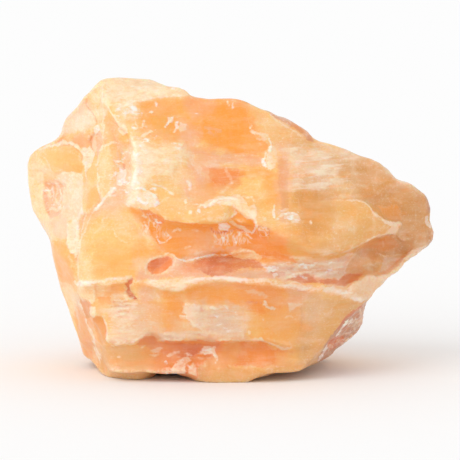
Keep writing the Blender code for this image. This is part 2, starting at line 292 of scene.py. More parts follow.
# The broad soft colours. Each tone's list goes over the right half, the orange face, the top block, the left
# side, the great left face, the band of wisps and the lower block.
CLOUDS: dict[Tone, list[Shape]] = {}
CLOUDS[T.SAND] = areas(
    # The first stretch, over the right half, is in part painted shade: that half is darker as the light
    # comes from the left
    (12, 1, (300, 150), (440, 150), (440, 262), (372, 262), (300, 258), (286, 200)),
    (8, 0.6, (268, 108), (312, 124), (326, 150), (286, 156), (270, 140)),
    (8, 0.6, (334, 160), (368, 164), (372, 198), (334, 196)),
    (2, 0.5, (120, 79), (150, 79), (160, 85), (140, 86), (122, 84)),
    (4, 0.35, (76, 98), (88, 95), (88, 112), (72, 120), (62, 140), (58, 122)),
    (12, 0.9, (296, 292), (366, 300), (366, 340), (330, 380), (290, 372), (296, 330)),
    (8, 0.7, (100, 346), (160, 344), (200, 362), (200, 384), (96, 384)),
)
CLOUDS[T.AMBER] = areas(
    (8, 0.5, (262, 104), (282, 112), (290, 138), (276, 146), (262, 136)),
    (8, 1, (240, 166), (278, 168), (282, 200), (260, 206), (250, 196), (236, 186)),
    (6, 1, (146, 184), (154, 174), (180, 176), (186, 202), (160, 204)),
    (5, 1, (106, 104), (134, 102), (142, 120), (138, 140), (126, 148), (106, 146)),
    (6, 0.75, (60, 132), (84, 129), (94, 130), (92, 152), (82, 148), (66, 146)),
    (4, 0.5, (26, 186), (44, 192), (48, 218), (34, 216)),
    (4, 1, (46, 238), (66, 236), (78, 256), (78, 282), (54, 284)),
    (5, 1, (128, 208), (110, 208), (92, 222), (80, 246), (78, 284), (136, 282), (172, 258), (150, 222)),
    (4, 1, (134, 204), (190, 196), (240, 204), (236, 226), (190, 228), (150, 216)),
    (5, 0.5, (198, 236), (214, 234), (218, 244), (208, 252), (194, 250)),
    (12, 0.5, (170, 282), (230, 280), (300, 290), (300, 330), (290, 352), (250, 342), (180, 340),
     (170, 310)),
)
CLOUDS[T.ORANGE] = areas(
    (4, 0.4, (279, 158), (288, 158), (288, 206), (280, 206)),
    (6, 0.5, (300, 192), (330, 194), (330, 216), (304, 226)),
    (9, 0.6, (134, 102), (168, 97), (204, 97), (206, 124), (190, 144), (158, 144), (140, 128)),
    (6, 0.4, (146, 112), (170, 110), (180, 128), (176, 141), (154, 140)),
    (9, 0.85, (192, 98), (236, 96), (250, 102), (256, 122), (266, 142), (262, 154), (226, 154), (196, 146)),
    (6, 0.85, (218, 106), (246, 107), (250, 128), (262, 142), (260, 152), (222, 152)),
    (7, 0.35, (186, 142), (216, 150), (214, 168), (196, 168)),
    (7, 0.65, (194, 174), (216, 180), (216, 206), (194, 208)),
    (4, 0.5, (240, 168), (268, 169), (270, 176), (244, 178)),
    (6, 0.5, (262, 176), (282, 172), (284, 208), (266, 204)),
    (6, 0.55, (304, 194), (334, 196), (334, 222), (310, 228)),
    (4, 0.45, (72, 138), (93, 134), (92, 150), (78, 147)),
    (5, 0.45, (48, 258), (70, 258), (76, 286), (56, 290)),
    (5, 0.5, (46, 244), (66, 240), (76, 262), (74, 282), (54, 282)),
    (4, 0.7, (78, 298), (92, 302), (94, 330), (86, 326)),
    (9, 0.28, (96, 240), (132, 244), (160, 254), (142, 274), (100, 276)),
    (4, 1, (128, 206), (166, 216), (236, 222), (262, 230), (306, 240), (326, 258), (290, 264), (240, 258),
     (168, 256), (148, 236)),
    (5, 1, (150, 222), (200, 226), (196, 254), (166, 254), (152, 240)),
    (6, 0.45, (140, 240), (152, 244), (168, 254), (152, 258), (136, 256)),
    (6, 0.75, (184, 286), (230, 281), (284, 286), (296, 300), (270, 312), (206, 305), (186, 302)),
    (7, 0.75, (162, 290), (184, 292), (186, 312), (180, 330), (168, 330), (164, 306)),
    (10, 0.4, (252, 300), (300, 300), (306, 330), (288, 346), (258, 340)),
)
CLOUDS[T.DEEP] = areas(
    (5, 0.75, (210, 168), (236, 168), (244, 176), (232, 188), (212, 188)),
    (4, 0.25, (138, 211), (152, 213), (166, 222), (236, 224), (270, 230), (262, 240), (206, 230),
     (160, 228)),
    (7, 0.4, (256, 232), (300, 240), (290, 262), (250, 260), (236, 246)),
    (4, 0.35, (310, 258), (340, 253), (356, 250), (350, 260), (330, 264), (312, 264)),
    (5, 0.35, (236, 284), (270, 285), (284, 292), (280, 306), (262, 300), (240, 296)),
    (3, 0.35, (246, 303), (264, 302), (266, 311), (250, 312)),
)
CLOUDS[T.PINK] = areas(
    (6, 0.75, (277, 140), (290, 140), (290, 222), (279, 224)),
    (7, 0.7, (180, 122), (196, 126), (202, 146), (222, 153), (222, 166), (206, 176), (200, 186), (186, 170)),
    (3, 0.7, (216, 155), (262, 155), (262, 165), (216, 166)),
    (6, 0.35, (180, 178), (204, 176), (214, 196), (204, 214), (188, 212)),
    (6, 0.6, (184, 99), (214, 99), (212, 112), (196, 118), (186, 112)),
    (5, 0.3, (222, 99), (256, 104), (262, 116), (236, 112)),
    (4, 0.5, (116, 142), (132, 142), (132, 168), (130, 200), (118, 196)),
    (4, 0.5, (74, 134), (94, 132), (93, 154), (84, 150), (72, 144)),
    (4, 0.4, (104, 112), (116, 124), (122, 140), (104, 144)),
    (4, 0.45, (72, 292), (92, 300), (96, 340), (100, 366), (80, 364)),
    (5, 0.5, (104, 200), (118, 189), (128, 192), (130, 206), (112, 212)),
    (6, 0.45, (184, 236), (210, 232), (218, 246), (212, 256), (186, 256)),
    (3, 0.9, (262, 264), (300, 262), (340, 256), (350, 252), (346, 276), (340, 280), (286, 280)),
    (4, 0.5, (172, 256), (196, 262), (214, 276), (190, 280), (176, 270)),
    (6, 0.5, (134, 302), (160, 302), (164, 336), (140, 338)),
    (4, 0.7, (140, 284), (156, 288), (160, 300), (140, 304)),
    (4, 0.4, (96, 286), (120, 286), (118, 296), (98, 298)),
    (5, 0.6, (286, 286), (310, 286), (308, 300), (288, 310)),
)
CLOUDS[T.BEIGE] = areas(
    (8, 0.75, (286, 150), (328, 150), (338, 186), (292, 190)),
    (4, 0.55, (314, 143), (346, 149), (392, 172), (378, 174), (340, 158)),
    (3, 0.7, (392, 174), (402, 179), (414, 183), (400, 186), (392, 182)),
    (3, 0.8, (60, 120), (84, 97), (92, 102), (96, 118), (94, 130), (78, 130), (60, 136)),
    (5, 0.45, (98, 196), (118, 192), (120, 214), (98, 216)),
    (4, 0.7, (40, 214), (66, 210), (70, 236), (60, 240), (46, 230)),
    (4, 0.6, (136, 262), (150, 256), (176, 258), (182, 272), (140, 280)),
    (6, 0.5, (172, 316), (206, 320), (216, 341), (176, 341)),
    (7, 0.7, (116, 298), (138, 300), (146, 318), (160, 330), (158, 340), (112, 346)),
    (8, 0.8, (188, 304), (214, 302), (246, 306), (244, 341), (216, 341), (204, 330)),
    (4, 0.4, (98, 294), (118, 294), (118, 314), (98, 314)),
    (8, 0.35, (300, 288), (322, 290), (330, 300), (320, 334), (308, 330)),
)
CLOUDS[T.BUTTER] = areas(
    (5, 0.45, (324, 176), (346, 179), (357, 190), (352, 198), (328, 190)),
    (8, 1, (134, 144), (160, 144), (184, 146), (190, 158), (178, 172), (148, 180), (130, 204)),
    (4, 1, (94, 78), (150, 77), (172, 84), (196, 97), (166, 98), (132, 103), (112, 105), (104, 116),
     (104, 144), (94, 130), (90, 100)),
    (4, 0.5, (110, 104), (136, 102), (142, 118), (138, 136), (126, 130), (114, 112)),
    (3, 0.8, (24, 172), (42, 172), (46, 212), (56, 240), (40, 240), (26, 210)),
    (4, 0.55, (98, 146), (116, 144), (120, 158), (112, 168), (100, 168)),
    (4, 0.7, (58, 282), (72, 284), (78, 300), (72, 318)),
    (5, 0.45, (78, 240), (88, 238), (94, 280), (80, 282)),
)
CLOUDS[T.GOLD] = areas(
    (8, 1, (286, 192), (340, 194), (396, 218), (372, 244), (330, 260), (290, 262)),
    (5, 0.9, (296, 232), (346, 240), (346, 256), (310, 260), (296, 250)),
    (6, 0.5, (150, 118), (168, 116), (174, 136), (156, 138)),
    (8, 0.6, (326, 298), (352, 298), (340, 330), (318, 352), (300, 360), (316, 330)),
    (3, 0.9, (196, 364), (240, 366), (304, 366), (290, 386), (196, 386)),
)
CLOUDS[T.SHELL] = areas(
    (5, 0.5, (408, 232), (430, 232), (430, 248), (408, 258)),
    (4, 0.7, (266, 266), (300, 263), (346, 258), (344, 276), (320, 280), (280, 278)),
    (4, 0.6, (158, 331), (184, 331), (184, 341), (160, 341)),
    (8, 0.6, (206, 308), (236, 306), (236, 338), (218, 341), (206, 326)),
)
CLOUDS[T.OCHRE] = areas(
    (9, 0.6, (364, 160), (396, 178), (430, 200), (432, 240), (404, 262), (372, 270), (366, 240), (372, 200)),
    (4, 0.5, (372, 198), (402, 200), (410, 222), (388, 221), (376, 212)),
    (6, 0.75, (358, 163), (380, 166), (394, 182), (390, 200), (358, 198)),
    (8, 0.4, (296, 172), (326, 176), (330, 196), (298, 194)),
    (7, 0.8, (296, 193), (334, 194), (334, 232), (304, 240), (298, 222)),
    (5, 0.35, (308, 244), (332, 242), (342, 248), (330, 258), (310, 258)),
)
CLOUDS[T.COPPER] = areas((6, 0.4, (150, 352), (204, 350), (204, 376), (160, 376), (150, 364)))
CLOUDS[T.CREAM] = areas(
    (5, 0.75, (130, 140), (144, 142), (150, 158), (146, 178), (138, 200), (127, 206), (131, 176)),
    (6, 0.3, (148, 160), (166, 158), (180, 162), (172, 172), (150, 174)),
    (4, 0.5, (106, 86), (130, 88), (166, 90), (166, 96), (140, 99), (106, 101)),
    (5, 0.6, (70, 116), (92, 114), (95, 128), (80, 131), (68, 128)),
    (5, 0.25, (108, 105), (134, 103), (140, 112), (134, 124), (120, 118)),
    (5, 0.4, (80, 160), (92, 158), (98, 164), (96, 176), (86, 182)),
    (5, 0.4, (98, 146), (120, 146), (140, 150), (134, 172), (104, 172)),
    (4, 0.45, (52, 176), (74, 172), (76, 192), (56, 192)),
    (3, 0.7, (60, 170), (84, 174), (84, 214), (76, 224), (62, 214)),
    (5, 0.22, (114, 218), (142, 216), (146, 232), (136, 240), (120, 234)),
    (4, 0.4, (144, 234), (156, 236), (160, 244), (150, 246)),
    (5, 0.45, (184, 248), (206, 246), (214, 254), (196, 256)),
) + patches(
    (3, 0.85, 0.1, (140, 280), (168, 280), (192, 278), (196, 283), (184, 290), (172, 292), (158, 288)),
)
# Painted shade: purple-brown on the right end's rim, where the surface turns away from the light
CLOUDS[T.BROWN] = areas(
    (4, 0.6, (425, 192), (430, 201), (430, 212), (446, 212), (446, 186)),
    (4, 0.6, (432, 230), (431, 244), (427, 250), (446, 252), (446, 228)),
)

# The shapes that have a clear outline. Each list goes over the left side, the orange face, the lens and its
# wing, the lip, the right end, the long hollow with its ledge, and the lower block.
DETAILS: dict[Tone, list[Shape]] = {}
DETAILS[T.UMBER] = patches(
    (1.5, 1, 0, (366, 302), (376, 306), (372, 340), (322, 372), (316, 362), (328, 341), (344, 319)),
)
DETAILS[T.TAN] = patches(
    (1.5, 0.95, 0, (258, 106), (270, 110), (279, 116), (288, 118), (297, 125), (306, 128), (316, 142),
     (308, 140), (298, 131), (286, 123), (276, 119), (266, 111)),
) + lines(
    (0.4, -0.1, 1.2, (86, 106), (95, 116), (97, 124)),
    (0.5, -0.1, 1.2, (92, 134), (91, 144), (93, 155)),
    (0.3, -0.1, 1.4, (119, 311), (126, 311), (130, 312)),
    (0.35, -0.1, 1.4, (113, 302), (123, 301.5), (132, 302.5)),
    (0.35, -0.1, 1.4, (112, 306.5), (121, 306), (131, 306.5)),
) + lines(
    (0.35, 0, 3, (301, 304), (302, 318), (301, 330)),
    soft=3,
)
DETAILS[T.OCHRE] = patches(
    (3, 0.85, -0.1, (376, 200), (392, 198), (406, 206), (404, 221), (390, 220), (380, 214)),
    # Painted shade on the underside below the wing's tip
    (6, 0.9, 0, (394, 230), (416, 230), (416, 250), (404, 258), (394, 248)),
    (2, 0.4, 0, (93, 318), (98, 315), (104, 319), (108, 336), (102, 346), (98, 336)),
    (2, 0.6, 0, (79, 299), (87, 301), (92, 306), (91, 316), (86, 322)),
)
DETAILS[T.COPPER] = patches(
    (3, 0.25, 0, (279, 159), (288, 160), (287, 184), (289, 209), (281, 210), (278, 186)),
    (1.5, 0.25, 0, (352, 252), (358, 247), (368, 241), (378, 236), (395, 235), (406, 244), (410, 253),
     (400, 254), (391, 255), (387, 257), (381, 254), (377, 250), (366, 254)),
) + faded(
    (2, 0.4, 0, (356, 262), (390, 270), (357, 249), (378, 251), (384, 258), (382, 272), (366, 274),
     (344, 276), (348, 265), (352, 257)),
)
DETAILS[T.PINK] = patches(
    (2, 0.7, 0, (97, 128), (103, 134), (103, 148), (98, 157), (96, 148)),
    (3, 0.6, -0.15, (44, 182), (50, 179), (58, 180), (63, 186), (62, 198), (58, 206), (60, 214), (50, 220),
     (44, 206), (42, 192)),
    (2, 0.7, 0, (222, 276), (232, 271), (244, 270), (262, 268), (274, 272), (276, 279), (244, 277)),
    (3, 0.75, 0, (172, 260), (186, 263), (198, 270), (206, 277), (180, 277), (134, 279), (142, 269),
     (149, 275), (168, 273)),
    (1.5, 0.8, 0.1, (160, 374), (163, 368), (168, 366), (173, 370), (172, 374)),
) + lines(
    (0.8, -0.1, 1.6, (86, 213), (83, 224), (80, 236)),
    (0.6, 0, 2.6, (240, 266), (246, 270)),
    (0.5, 0, 2.6, (229, 268), (232, 271)),
    (0.6, 0, 1.6, (150, 264), (154, 266)),
    (0.6, 0, 1.6, (156, 262), (161, 261)),
    (0.5, 0, 1.8, (243, 306), (244, 322), (244, 338)),
    (0.6, 0.1, 2.4, (110, 370), (116, 367), (120, 367)),
) + lines(
    (0.5, 0, 3, (205, 127), (213, 130), (222, 133)),
    (0.5, 0, 2.4, (208, 132), (216, 136)),
    (0.5, 0, 3, (186, 186), (188, 194), (190, 202)),
    (0.5, 0, 3, (208, 313), (211, 318), (218, 316)),
    (0.5, 0, 3, (200, 307), (204, 311)),
    soft=2,
) + lines(
    (0.6, 0, 5, (212, 249), (224, 250), (238, 247)),
    soft=3,
)
DETAILS[T.SHELL] = patches(
    (2, 0.6, 0, (384, 257), (406, 258), (402, 268), (390, 275), (380, 274)),
    (3, 0.5, 0, (236, 275), (248, 271), (262, 270), (274, 272), (276, 279), (250, 277)),
    (3, 0.5, 0, (214, 331), (238, 328), (240, 340), (219, 341)),
    (2, 0.8, 0.15, (158, 333), (172, 332), (186, 334), (184, 340), (172, 341), (162, 341)),
)
DETAILS[T.AMBER] = patches(
    (1.5, 0.7, 0.2, (34, 152), (46, 146), (60, 145), (72, 147), (80, 154), (84, 163), (85, 172), (82, 175),
     (76, 174), (70, 171), (60, 172), (55, 174), (50, 170), (45, 166), (36, 162)),
    (1.5, 0.65, 0.2, (84, 160), (98, 156), (100, 180), (99, 200), (92, 214), (83, 214)),
    (3, 0.5, 0, (99, 152), (104, 146), (116, 144), (124, 156), (121, 174), (112, 190), (103, 202),
     (99, 178)),
    (3, 0.7, 0, (152, 176), (164, 174), (172, 176), (176, 186), (174, 196), (164, 190), (154, 184)),
    (3, 0.6, 0, (140, 186), (150, 184), (152, 190), (144, 196), (140, 194)),
    (8, 0.2, 0, (336, 208), (356, 206), (366, 214), (380, 226), (366, 234), (344, 244)),
) + faded(
    (1.5, 1, 0.25, (196, 217), (196, 204), (156, 208), (170, 204), (200, 208), (232, 206), (236, 210),
     (232, 218), (214, 224), (190, 224), (164, 220)),
)
DETAILS[T.ORANGE] = patches(
    (5, 0.35, 0, (88, 192), (100, 184), (101, 200), (92, 213), (87, 208)),
    (1.5, 0.9, 0, (232, 207), (237, 210), (242, 216), (248, 219), (253, 218), (257, 223), (256, 228),
     (252, 233), (244, 228), (236, 223), (231, 219), (237, 215)),
    (3, 0.5, 0, (146, 222), (162, 222), (174, 230), (170, 248), (158, 244), (149, 234)),
    (4, 0.4, 0, (378, 206), (400, 206), (404, 220), (388, 220)),
    (3, 0.35, 0, (98, 297), (112, 296), (112, 304), (100, 306)),
    (4, 0.25, 0, (106, 285), (126, 283), (126, 292), (110, 294)),
    (1.5, 0.5, 0, (96, 296), (112, 296), (112, 300), (101, 301)),
    (1.5, 0.35, 0, (105, 285), (124, 283), (124, 291), (112, 293), (111, 296), (105, 296)),
    (4, 0.6, 0, (246, 346), (276, 349), (276, 364), (248, 364)),
) + faded(
    (4, 0.5, 0, (84, 160), (50, 160), (44, 150), (73, 148), (82, 158), (85, 168), (82, 175), (72, 172),
     (46, 168)),
    (1.5, 0.7, 0, (246, 132), (214, 132), (218, 108), (246, 108), (248, 120), (250, 130), (257, 139),
     (268, 143), (270, 148), (264, 153), (240, 154), (218, 152)),
    (1.5, 0.8, 0, (174, 238), (212, 244), (148, 212), (158, 218), (166, 223), (200, 226), (212, 230),
     (214, 242), (206, 250), (190, 256), (178, 258), (170, 255), (163, 250), (157, 243), (152, 236),
     (149, 226)),
)
DETAILS[T.BUTTER] = patches(
    (4, 0.7, 0, (24, 156), (36, 152), (40, 160), (48, 170), (40, 174), (24, 174)),
    (4, 0.5, 0, (99, 152), (106, 147), (112, 148), (106, 176), (103, 198), (99, 178)),
    (1.5, 0.75, 0.1, (232, 251), (240, 248), (248, 249), (263, 256), (260, 260), (244, 259), (232, 255)),
    (2, 0.85, 0.3, (78, 284), (94, 284), (96, 296), (94, 304), (88, 300), (78, 292)),
    (4, 0.4, 0, (96, 285), (112, 284), (106, 296), (96, 296)),
)
DETAILS[T.GOLD] = patches(
    (4, 0.4, 0, (190, 214), (206, 210), (230, 209), (226, 220), (196, 223)),
) + faded(
    (2, 0.9, 0.3, (352, 226), (308, 226), (290, 206), (334, 200), (360, 201), (369, 205), (377, 216),
     (388, 221), (403, 223), (397, 234), (376, 236), (368, 240), (358, 247), (340, 251), (322, 256),
     (290, 258)),
)
DETAILS[T.DEEP] = patches(
    (2, 0.45, 0, (209, 169), (222, 168), (240, 170), (238, 176), (226, 186), (214, 184), (208, 178)),
    (1.5, 0.7, 0, (140, 209), (150, 210), (158, 216), (166, 222), (160, 226), (150, 218)),
    (3, 0.3, 0, (360, 248), (370, 240), (380, 237), (394, 237), (400, 246), (388, 253), (376, 248)),
    (4, 0.35, 0, (180, 262), (194, 263), (204, 271), (190, 274), (182, 270)),
    (1.5, 1, -0.2, (148.5, 268), (149, 263.5), (152, 260), (156.5, 257.8), (162, 256.5), (168, 256),
     (172.3, 258), (173.5, 261.5), (172.2, 265.5), (169, 269.3), (164.5, 272), (159, 273.6), (153.5, 273.8),
     (150, 271.8)),
    (1.5, 0.5, 0, (284, 280), (294, 276), (304, 272), (313, 274), (322, 279), (338, 278), (348, 273),
     (363, 272), (362, 276), (352, 282), (342, 285), (322, 283)),
    (3, 0.25, 0, (72, 314), (78, 308), (88, 326), (92, 344), (92, 360), (82, 360)),
    (6, 0.3, 0, (200, 352), (228, 346), (230, 368), (204, 374)),
) + faded(
    (1.5, 0.45, -0.15, (100, 322), (104, 354), (93, 318), (98, 315), (103, 317), (106, 324), (108, 334),
     (108, 342), (103, 348), (98, 340), (94, 328)),
    (1.5, 0.4, -0.1, (88, 304), (84, 324), (79, 299), (86, 301), (92, 306), (91, 316), (88, 319), (82, 312)),
    (1.5, 0.7, 0, (176, 350), (128, 366), (112, 348), (118, 344.5), (133, 344.5), (138, 341), (143, 336),
     (149, 334.5), (155, 335), (158, 341), (170, 340.5), (183, 341.5), (196, 340), (208, 337), (214, 341),
     (226, 341.5), (222, 352), (208, 358), (199, 366), (197, 380), (150, 380), (120, 370)),
    (4, 0.6, -0.2, (270, 356), (300, 358), (241, 342), (262, 341.5), (272, 347), (283, 350), (300, 352),
     (300, 366), (262, 366.5), (236, 365)),
    (3, 0.4, 0, (238, 350), (208, 362), (216, 342), (246, 342), (246, 366), (210, 364)),
) + lines(
    (0.5, 0, 5, (262, 254), (276, 254), (290, 258), (296, 261)),
    soft=3,
)
DETAILS[T.RUST] = patches(
    (4, 0.45, 0, (198, 261), (210, 258), (224, 258), (232, 264), (228, 271), (218, 275), (208, 274)),
    (4, 0.5, 0, (149, 267), (151, 261), (158, 257), (168, 256), (172, 259), (164, 263), (157, 268),
     (153, 273)),
    (1.5, 0.6, -0.1, (270, 272), (283, 271), (286, 276), (276, 277)),
    (1.5, 0.5, -0.2, (286, 279), (296, 276), (304, 273), (312, 275), (318, 282), (300, 282)),
    (1.5, 0.5, -0.2, (318, 280), (338, 279), (350, 273), (362, 273), (356, 280), (344, 286), (330, 285),
     (320, 283)),
    (3, 0.35, -0.15, (136, 344), (146, 337), (154, 336), (158, 342), (198, 343), (222, 342), (218, 348),
     (198, 352), (188, 358), (160, 352)),
    (3, 0.5, 0, (180, 344), (200, 345), (198, 354), (188, 356)),
    (2, 0.75, 0, (327, 344), (333, 338), (342, 336), (346, 342), (338, 348), (330, 350)),
    (2, 0.5, 0, (343, 330), (348, 322), (352, 322), (348, 330)),
) + faded(
    (2.5, 0.6, -0.1, (204, 266), (184, 264), (184, 262), (196, 261), (206, 258), (216, 256), (232, 256),
     (246, 259), (260, 262), (268, 266), (262, 268), (240, 269), (228, 273), (220, 276.5), (211, 276),
     (200, 271)),
) + lines(
    (0.3, -0.05, 1.6, (50, 200), (53, 206)),
    (0.2, -0.05, 2, (52, 190), (56, 189)),
    (0.45, 0, 2.4, (124, 164), (126, 171)),
    (0.6, -0.1, 2.2, (211, 227), (214, 231), (220, 233), (228, 232)),
    (0.5, -0.1, 2, (228, 232), (236, 228), (246, 231), (256, 233)),
    (0.5, -0.1, 1.6, (256, 227), (262, 226), (269, 231), (269, 237)),
    (0.4, -0.1, 1.6, (245, 302), (254, 302), (262, 303)),
    (0.45, -0.1, 1.6, (186, 334), (198, 333.5), (207, 335.5), (215, 339)),
    (0.35, 0, 1.6, (294, 288), (300, 290), (308, 290)),
    (0.6, 0, 2.2, (364, 305), (354, 311), (345, 318), (338, 328)),
) + lines(
    (0.85, -0.4, 4, (133, 278), (128, 284), (127, 290), (132, 296), (138, 299)),
    soft=1,
) + lines(
    (0.3, -0.15, 4, (43, 190), (45, 204), (47, 215)),
    soft=2,
)
DETAILS[T.BEIGE] = patches(
    (2, 0.8, 0, (92, 134), (96, 132), (97, 150), (93, 156)),
    (2, 0.75, 0.1, (180, 123), (187, 125), (187, 131), (181, 133), (179, 128)),
    (1.5, 0.85, 0.1, (284, 214), (298, 214), (300, 221), (291, 224), (290, 218), (284, 219)),
    (2, 0.85, 0.1, (380, 219), (388, 221), (403, 223), (398, 230), (396, 235), (386, 233), (392, 227)),
    (1.5, 0.6, 0.1, (388, 277), (398, 270), (404, 262), (408, 262), (402, 272), (392, 281)),
    (2, 0.55, 0.2, (346, 290), (360, 279), (366, 275), (390, 275), (384, 287), (370, 300), (360, 301)),
    (2, 0.7, 0.15, (196, 329), (216, 330), (243, 328), (245, 339), (218, 341), (208, 336)),
    (2.5, 0.7, 0.1, (160, 332), (184, 331), (196, 330), (206, 334), (216, 340), (196, 340), (176, 338)),
    (1.5, 0.8, 0.1, (288, 302), (305, 303), (296, 306), (293, 309), (289, 311)),
) + faded(
    (1.5, 0.6, 0.1, (194, 312), (218, 322), (184, 305), (193, 304), (200, 304), (212, 303), (224, 304),
     (226, 322), (220, 334), (208, 334), (203, 330), (197, 327), (191, 324), (189, 319), (186, 318),
     (187, 314), (182, 312)),
) + lines(
    (0.7, 0.1, 2, (118, 152), (119, 162), (123, 170)),
    (0.5, 0, 1.6, (169, 87), (170, 96)),
    (0.8, 0.1, 2.6, (230, 222), (238, 225), (246, 230), (252, 233)),
    (0.6, 0.1, 1.6, (270, 116), (282, 124), (294, 131), (304, 139)),
    (0.7, 0.1, 2, (346, 200), (362, 201), (370, 207), (377, 216), (388, 221), (403, 223)),
    (0.75, 0.1, 1.8, (396, 234), (380, 235), (368, 240), (356, 247), (344, 250)),
    (0.5, 0.1, 1.4, (378, 252), (384, 257), (394, 256), (402, 254)),
    (0.5, 0, 1.8, (383, 240), (384, 247)),
    (0.9, 0.1, 3, (263, 301), (267, 306), (275, 308)),
    (0.5, 0, 1.6, (73, 304), (76, 316), (80, 332)),
    (0.5, 0.1, 1.8, (150, 355), (160, 354)),
    (0.4, 0.1, 1.6, (196, 357), (204, 358), (212, 357)),
    (0.4, 0.1, 1.6, (140, 348), (146, 346)),
    (0.85, 0.2, 2.4, (238, 340), (250, 339.5), (262, 340), (272, 344), (283, 348), (292, 347)),
    (0.4, 0, 1.4, (290, 340), (291, 348)),
    (0.5, 0.1, 1.8, (112, 345), (124, 342), (136, 342)),
    (0.5, 0.1, 1.6, (340, 336), (348, 334), (356, 336)),
) + lines(
    (0.5, 0.1, 2, (214, 233), (216, 240), (212, 247)),
    (0.6, 0, 2.6, (326, 262), (340, 258), (352, 253)),
    (0.7, 0.1, 4, (152, 351), (162, 348)),
    (0.5, 0.1, 2, (354, 318), (358, 324), (354, 332)),
    (0.5, 0.1, 2.2, (360, 308), (362, 320), (360, 330)),
    (0.7, 0.1, 2.6, (342, 346), (348, 342), (354, 338)),
    soft=2,
) + lines(
    (0.4, 0, 2.6, (356, 252), (349, 262), (344, 274)),
    (0.5, 0, 4, (246, 291), (256, 292), (264, 297)),
    soft=3,
)
